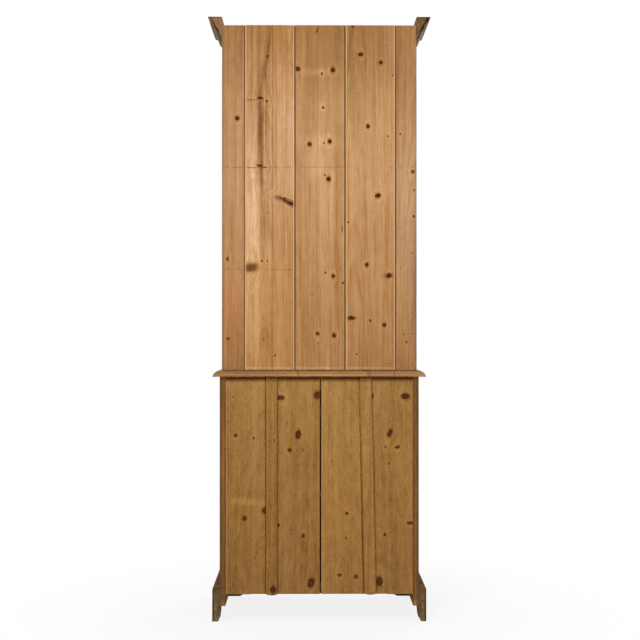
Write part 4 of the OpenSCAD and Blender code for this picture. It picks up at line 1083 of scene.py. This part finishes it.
rack_back_boards = {
    "rack_back_board_1": dict(
        log=(0.7, 1.2, 0.9), heart=(0.42, 0.25), lean=0.02,
        knots=((285, 1747, 7.3, 7.3, 0.95), (318, 1259, 5.2, 6.2, 0.75), (316, 982, 4.6, 4.6, 0.7),
               (318, 1257, 2.6, 3.4, 0.5, 0.1), (317, 981, 2.2, 2.8, 0.5, 0.1),
               (333, 1075, 2.2, 3.4, 0.5, 0.1)),
        marks=((299, 1577, 60, 1.8, shelf_shadow, 0.9), (299, 1222, 60, 1.6, shelf_shadow, 0.6),
               (300, 1080, 60, 170, (1.08, 0.93, 0.88)), (334, 1100, 7, 360, (0.74, 0.7, 0.74), 1.0, 0.3)),
        share=0.88, seams=((338, 5.0, (0.17, 0.09, 0.06), 0.5),),
    ),
    "rack_back_board_2": dict(
        log=(3.7, 0.2, 2.8), heart=(0.19, 0.13), lean=0.02,
        knots=((180, 1962, 3.8, 5.2, 0.6), (206, 1817, 11.1, 5.2, 0.85, 0.15),
               (237, 1811, 22.5, 2.4, 0.5, 0.5), (183, 1806, 4.2, 4.2, 0.95),
               (207, 1583, 10.4, 4.2, 0.8, 0.15), (188, 1576, 7.6, 2.8, 0.7, 0.2),
               (233, 1576, 20.8, 2.1, 0.45, 0.5), (124, 1471, 24, 2.4, 0.7, 0.2, -16),
               (117, 1462, 30, 2.8, 0.75, 0.2, -27), (106, 1455, 20, 2.6, 0.8, 0.2, -22),
               (96, 1450, 9, 4.6, 0.85, 0.2, -15), (101, 1443, 15, 1.8, 0.7, 0.3, -32),
               (180, 1418, 4.2, 4.9, 0.4, 0.2), (240, 1229, 24, 14, 0.66, 0.24, 12),
               (199, 1252, 3.1, 3.1, 0.8), (180, 1252, 3.1, 3.1, 0.7), (192, 981, 4.5, 5.9, 0.4, 0.2),
               (154, 924, 3.1, 3.1, 0.85)),
        lines=((178, 1.3, heart_line, 0.45), (163.5, 1.4, heart_line, 0.5), (150, 1.2, heart_line, 0.3)),
        marks=((214, 1970, 50, 170, (0.9, 0.94, 0.93), 1.0, 0.4), (172, 1640, 260, 380, (1.02, 1.07, 1.22)),
               (232, 1390, 34, 210, pale_patch, 0.9), (226, 1040, 44, 230, pale_patch, 0.7),
               (110, 1900, 40, 200, (1.2, 1.24, 1.35), 0.8), (238, 1640, 24, 130, pale_patch, 0.6),
               (192, 1910, 12, 165, heart_streak, 0.55, 0.5, -9),
               (203, 1700, 15, 170, heart_streak, 0.95, 0.35), (200, 1525, 8, 110, heart_streak, 0.75, 0.5),
               (190, 1394, 12, 150, heart_streak, 0.4), (184.5, 1740, 2.2, 230, heart_crack, 1.0, 0.3),
               (176, 1990, 2.2, 110, heart_crack, 0.9, 0.3, -7), (172, 1577, 130, 1.8, shelf_shadow, 0.9),
               (172, 1222, 130, 1.6, shelf_shadow, 0.7), (120, 1462, 46, 11, knot_flush, 1.0, 1.0, -21),
               (118, 1458, 40, 7, knot_flush, 0.8, 1.0, -21), (232, 1229, 44, 22, (0.7, 0.5, 0.4), 0.9),
               (172, 880.5, 170, 3.4, worn_foot), (112, 2050, 26, 60, (1.16, 1.24, 1.35))),
        share=1.12,
        seams=((254.8, 2.0, seam_pink, 0.7), (89.4, 1.9, seam_pink, 0.6)),
    ),
    "rack_back_board_3": dict(
        log=(6.1, 2.2, 4.6), heart=(-0.02, 0.18), lean=-0.03,
        knots=((6, 2054, 2.8, 12.5, 0.75, 0.1, -12), (75, 1919, 7.3, 7.6, 0.95), (-47, 1915, 7.3, 7.6, 1),
               (-9, 1902, 3.5, 3.8, 0.8), (-13, 1784, 4.2, 4.5, 0.85), (34, 1657, 7.6, 6.2, 0.9),
               (-36, 1667, 6.9, 6.9, 1), (-16, 1662, 3.1, 3.8, 0.55), (-32, 1536, 7.3, 7.3, 1),
               (-20, 1550, 3.1, 3.1, 0.7), (-78, 1363, 2.4, 13.9, 0.6, 0.2), (-21, 1212, 3.1, 3.1, 0.8),
               (-49, 1199, 6.6, 6.6, 0.95), (-82, 1176, 3.8, 3.8, 0.8), (25, 1137, 3.8, 3.8, 0.4, 0.1),
               (-74, 1113, 3.1, 3.1, 0.4, 0.1), (6, 1000, 6.9, 5.9, 0.9), (-51, 994, 6.9, 6.9, 0.95),
               (5, 966, 4.2, 4.9, 0.4, 0.2)),
        marks=((34, 1825, 50, 110, olive_wood, 0.9), (8, 1908, 80, 16, pale_patch, 0.7),
               (-8, 1666, 90, 34, pale_patch, 0.6), (18, 1586, 44, 54, pale_patch, 0.6),
               (-12, 1788, 14, 20, pale_patch, 0.7), (-2, 1577, 130, 1.8, shelf_shadow, 0.8),
               (-3, 880.5, 170, 3.4, worn_foot), (0, 1980, 115, 170, (0.87, 0.83, 0.74), 1.0, 0.5)),
        seams=((82.6, 2.6, seam_brown, 0.85), (-88.0, 2.4, seam_dark, 0.85)),
    ),
    "rack_back_board_4": dict(
        log=(9.2, 4.2, 1.1), heart=(-0.12, 0.11), lean=0.02,
        knots=((-117, 2066, 4.5, 3.8, 0.7, 0, -30), (-233, 2003, 3.8, 3.8, 0.35, 0.2),
               (-144, 1969, 8.0, 6.2, 1), (-214, 1941, 7.3, 6.2, 1), (-254, 1896, 3.5, 2.8, 0.5),
               (-131, 1836, 4.9, 3.8, 0.3, 0.3), (-169, 1719, 6.2, 6.9, 0.95), (-240, 1685, 2.8, 2.8, 0.85),
               (-203, 1479, 9.8, 7.2, 1, 0, 20), (-98, 1386, 4.9, 3.8, 0.85), (-165, 1238, 6.2, 6.9, 0.92),
               (-242, 1201, 9.1, 7.5, 0.85, 0.1), (-111, 1054, 13, 6.5, 0.85, 0.15),
               (-176, 1045, 3.5, 3.5, 0.85), (-226, 1030, 6.2, 6.2, 0.95), (-131, 929, 2.8, 2.8, 0.85)),
        marks=((-125, 1777, 34, 120, olive_wood, 0.9), (-113, 1900, 12, 260, (0.78, 0.8, 0.68), 1.0, 0.6),
               (-238, 1201, 34, 12, knot_flush, 0.8), (-113, 1054, 30, 10, knot_flush, 0.7),
               (-177, 880.5, 170, 3.4, worn_foot), (-177, 1980, 115, 170, (0.86, 0.83, 0.79), 1.0, 0.5)),
        seams=((-94.6, 3.4, seam_green, 0.9), (-260.6, 2.2, seam_pink, 0.75)),
    ),
    "rack_back_board_5": dict(
        log=(2.5, 7.2, 8.3), heart=(-0.34, 0.12), lean=0.02,
        knots=((-281, 1693, 3.1, 3.1, 0.75), (-325, 1562, 6.9, 6.6, 0.7, 0.1, -20),
               (-327, 1408, 3.8, 3.5, 0.7), (-293, 997, 2.8, 2.8, 0.8), (-302, 970, 3.5, 3.5, 0.8),
               (-330, 1498, 2.6, 4.2, 0.7, 0.1), (-330, 1406, 2.2, 5.2, 0.7, 0.1),
               (-323, 1278, 2.6, 3.2, 0.6, 0.1), (-312, 1111, 2.6, 2.6, 0.6, 0.1),
               (-323, 1074, 2.2, 3.6, 0.6, 0.1), (-324, 999, 2.6, 3.2, 0.6, 0.1),
               (-322, 1564, 2.2, 3.2, 0.6, 0.1)),
        marks=((-332, 1100, 15, 360, (0.74, 0.74, 0.85), 1.0, 0.3),
               (-302, 1330, 120, 420, (1.03, 1.07, 1.2))),
        share=0.92, seams=((-267.0, 2.2, seam_brown, 0.6), (-337, 3.6, rust, 0.4)),
    ),
}
board_faces = {"rack_back_board_1": (260, 338), "rack_back_board_2": (85.6, 258.2),
               "rack_back_board_3": (-88.8, 83.8), "rack_back_board_4": (-263.2, -90.6),
               "rack_back_board_5": (-338, -265)}
nail_rows = (2061, 1577, 1224, 895)
nail_inset = 17
board_hollow, wide_from = 0.7, 100
places = []
for seed, (node, own) in enumerate(rack_back_boards.items()):
    low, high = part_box(node)
    share = own.pop("share", 1.0)
    start, end = board_faces[node]
    hollow = board_hollow if end - start > wide_from else 0.0
    seams = own.pop("seams") + ((start, 1.4, seam_brown, 0.7), (end, 1.4, seam_brown, 0.7))
    lay_board(node, "XYZ", shaded(rack_back_dark, share), shaded(rack_back_pale, share), own.pop("log"),
              seed + 75, arris=0.8, cup=hollow, fade=rack_back_fade,
              box=((start * mm, low.y, low.z), (end * mm, high.y, high.z)),
              line=0.2, patches=1.0, specks=0.15, streaks=0.85, mottle=1.0, olive=0.25, seams=seams,
              rubbed=rack_rub, rub=0.3, grime=0.05, gloss=0.75, shine=0.04, relief=0.35, **own)
    for height in nail_rows:
        for x in (start + nail_inset, end - nail_inset):
            off = (2 * x - start - end) / (end - start)
            places.append((x * mm, high.y - hollow * (1 - off * off) * mm, height * mm))
drive_nails("rack_back_nails", places, 0.22, 3)


# Cornice
# A moulded pine cornice, mitred at the front corners and nailed round the frieze and the
# sides. Its outer mouldings and sawn back ends are grey with dust, and the back ends carry painted shade of
# the moulding.
old_dust = (0.085, 0.066, 0.046)
cornice_dark = (0.16, 0.08, 0.033)
cornice_pale = (0.38, 0.21, 0.095)
cornice_look = dict(arris=0.7, heart=(2.0, 0.1), rubbed=(0.44, 0.29, 0.16), grime=0.5,
                    grime_tone=old_dust, streaks=1.4, gloss=0.6, shine=0.06)
lay_board("cornice_front", "ZYX", cornice_dark, cornice_pale, (0.0, 2.1, 9.9), 83, end=(0.8, 0.7, 0.6),
          **cornice_look)
for seed, side, end in ((1, "left", (1.25, 1.18, 0.62)), (2, "right", (2.5, 1.85, 1.35))):
    out = 1 if side == "right" else -1
    # The part near the back end is made darker and greyer, and the back end carries painted shade of the
    # moulding: a dark slanted line, a greyed slanted strip and a dark band under the top fillet.
    lay_board("cornice_return_" + side, "ZXY", cornice_dark, cornice_pale, (5.8 * seed, 2.1, 9.9),
              seed + 83, end=end, marks=((2060, 200, 90, 110, (0.5, 0.58, 0.7)),),
              stains_and_shade=((out * 361, 2066, 5, 56, (0.12, 0.14, 0.17), 1.0, 1.0, out * 27),
                      (out * 372, 2076, 4, 40, (0.5, 0.7, 1.0), 1.0, 1.0, out * 22),
                      (out * 366, 2098, 30, 3, (0.45, 0.5, 0.55), 0.9)), **cornice_look)


# Studio
# The dresser stands on a plain pale floor, seen from behind as in the photograph, with a
# soft light high at its left there, weaker ones round it and an even white sky.
eye = Vector((0.032, 4.735, 1.023))
aim = Vector((-0.0024, 0.235, 1.047))
lens = 73.0
sky = 0.4
lit_middle = Vector((0, 0, 1.1))
floor_reach = 9
shadow_reach, white_reach = 0.35, 1.3
lamps = (
    ("window_light", (2.7, 6.2, 6.9), 2.4, 490),
    ("back_fill", (-3.0, 3.0, 1.6), 2.6, 10),
    ("front_light", (-2.4, -3.4, 2.7), 1.8, 95),
    ("front_fill", (3.0, -3.0, 1.6), 2.6, 30),
)


def seen_or_mirrored(tree):
    """1 where the camera sees the spot, straight, mirrored or through glass."""
    rays = wire(tree, "LightPath").outputs
    return reckon(tree, "MAXIMUM", rays["Is Camera Ray"],
                  reckon(tree, "MAXIMUM", rays["Is Glossy Ray"], rays["Is Transmission Ray"]))


camera = put_in("camera", bpy.data.cameras.new("camera"))
camera.location = eye
camera.rotation_euler = (aim - eye).to_track_quat("-Z", "Y").to_euler()
camera.data.sensor_width = 36
camera.data.lens = lens
bpy.context.scene.camera = camera

for name, at, size, power in lamps:
    light = bpy.data.lights.new(name, "AREA")
    light.size = size
    light.energy = power
    lamp = put_in(name, light)
    lamp.location = at
    lamp.rotation_euler = (lit_middle - Vector(at)).to_track_quat("-Z", "Y").to_euler()

world = bpy.data.worlds.new("white_sky")
bpy.context.scene.world = world
world.use_nodes = True
tree = world.node_tree
seen = seen_or_mirrored(tree)
back = tree.nodes["Background"]
feed(tree, back.inputs["Color"], (1, 1, 1))
feed(tree, back.inputs["Strength"], times_plus(tree, seen, 1.0 - sky, sky))

floor_shape = bmesh.new()
bmesh.ops.create_circle(floor_shape, cap_ends=True, segments=96, radius=floor_reach)
floor_mesh = bpy.data.meshes.new("floor")
floor_shape.to_mesh(floor_mesh)
floor_shape.free()
floor = put_in("floor", floor_mesh)
paper, tree, shader = new_finish("white_paper")
spot = wire(tree, "TexCoord").outputs["Object"]
tooth = cloud(tree, spot, (60, 60, 60), 3.0)
feed(tree, shader.inputs["Base Color"], tint(tree, tooth, (0.7, 0.7, 0.695), (0.74, 0.74, 0.735)))
shader.inputs["Roughness"].default_value = 0.9
seen = seen_or_mirrored(tree)
far = ease_between(tree, place_sum(tree, "LENGTH", spot), shadow_reach, white_reach, 0.85, 1.0)
white = wire(tree, "Emission", {"Color": (1, 1, 1), "Strength": 1.0}).outputs[0]
mixed = wire(tree, "MixShader", {"Fac": times(tree, far, seen)})
tree.links.new(shader.outputs[0], mixed.inputs[1])
tree.links.new(white, mixed.inputs[2])
tree.links.new(mixed.outputs[0], tree.nodes["Material Output"].inputs["Surface"])
floor_mesh.materials.append(paper)
floor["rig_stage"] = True

bpy.context.scene.view_settings.view_transform = "Standard"

low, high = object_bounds()
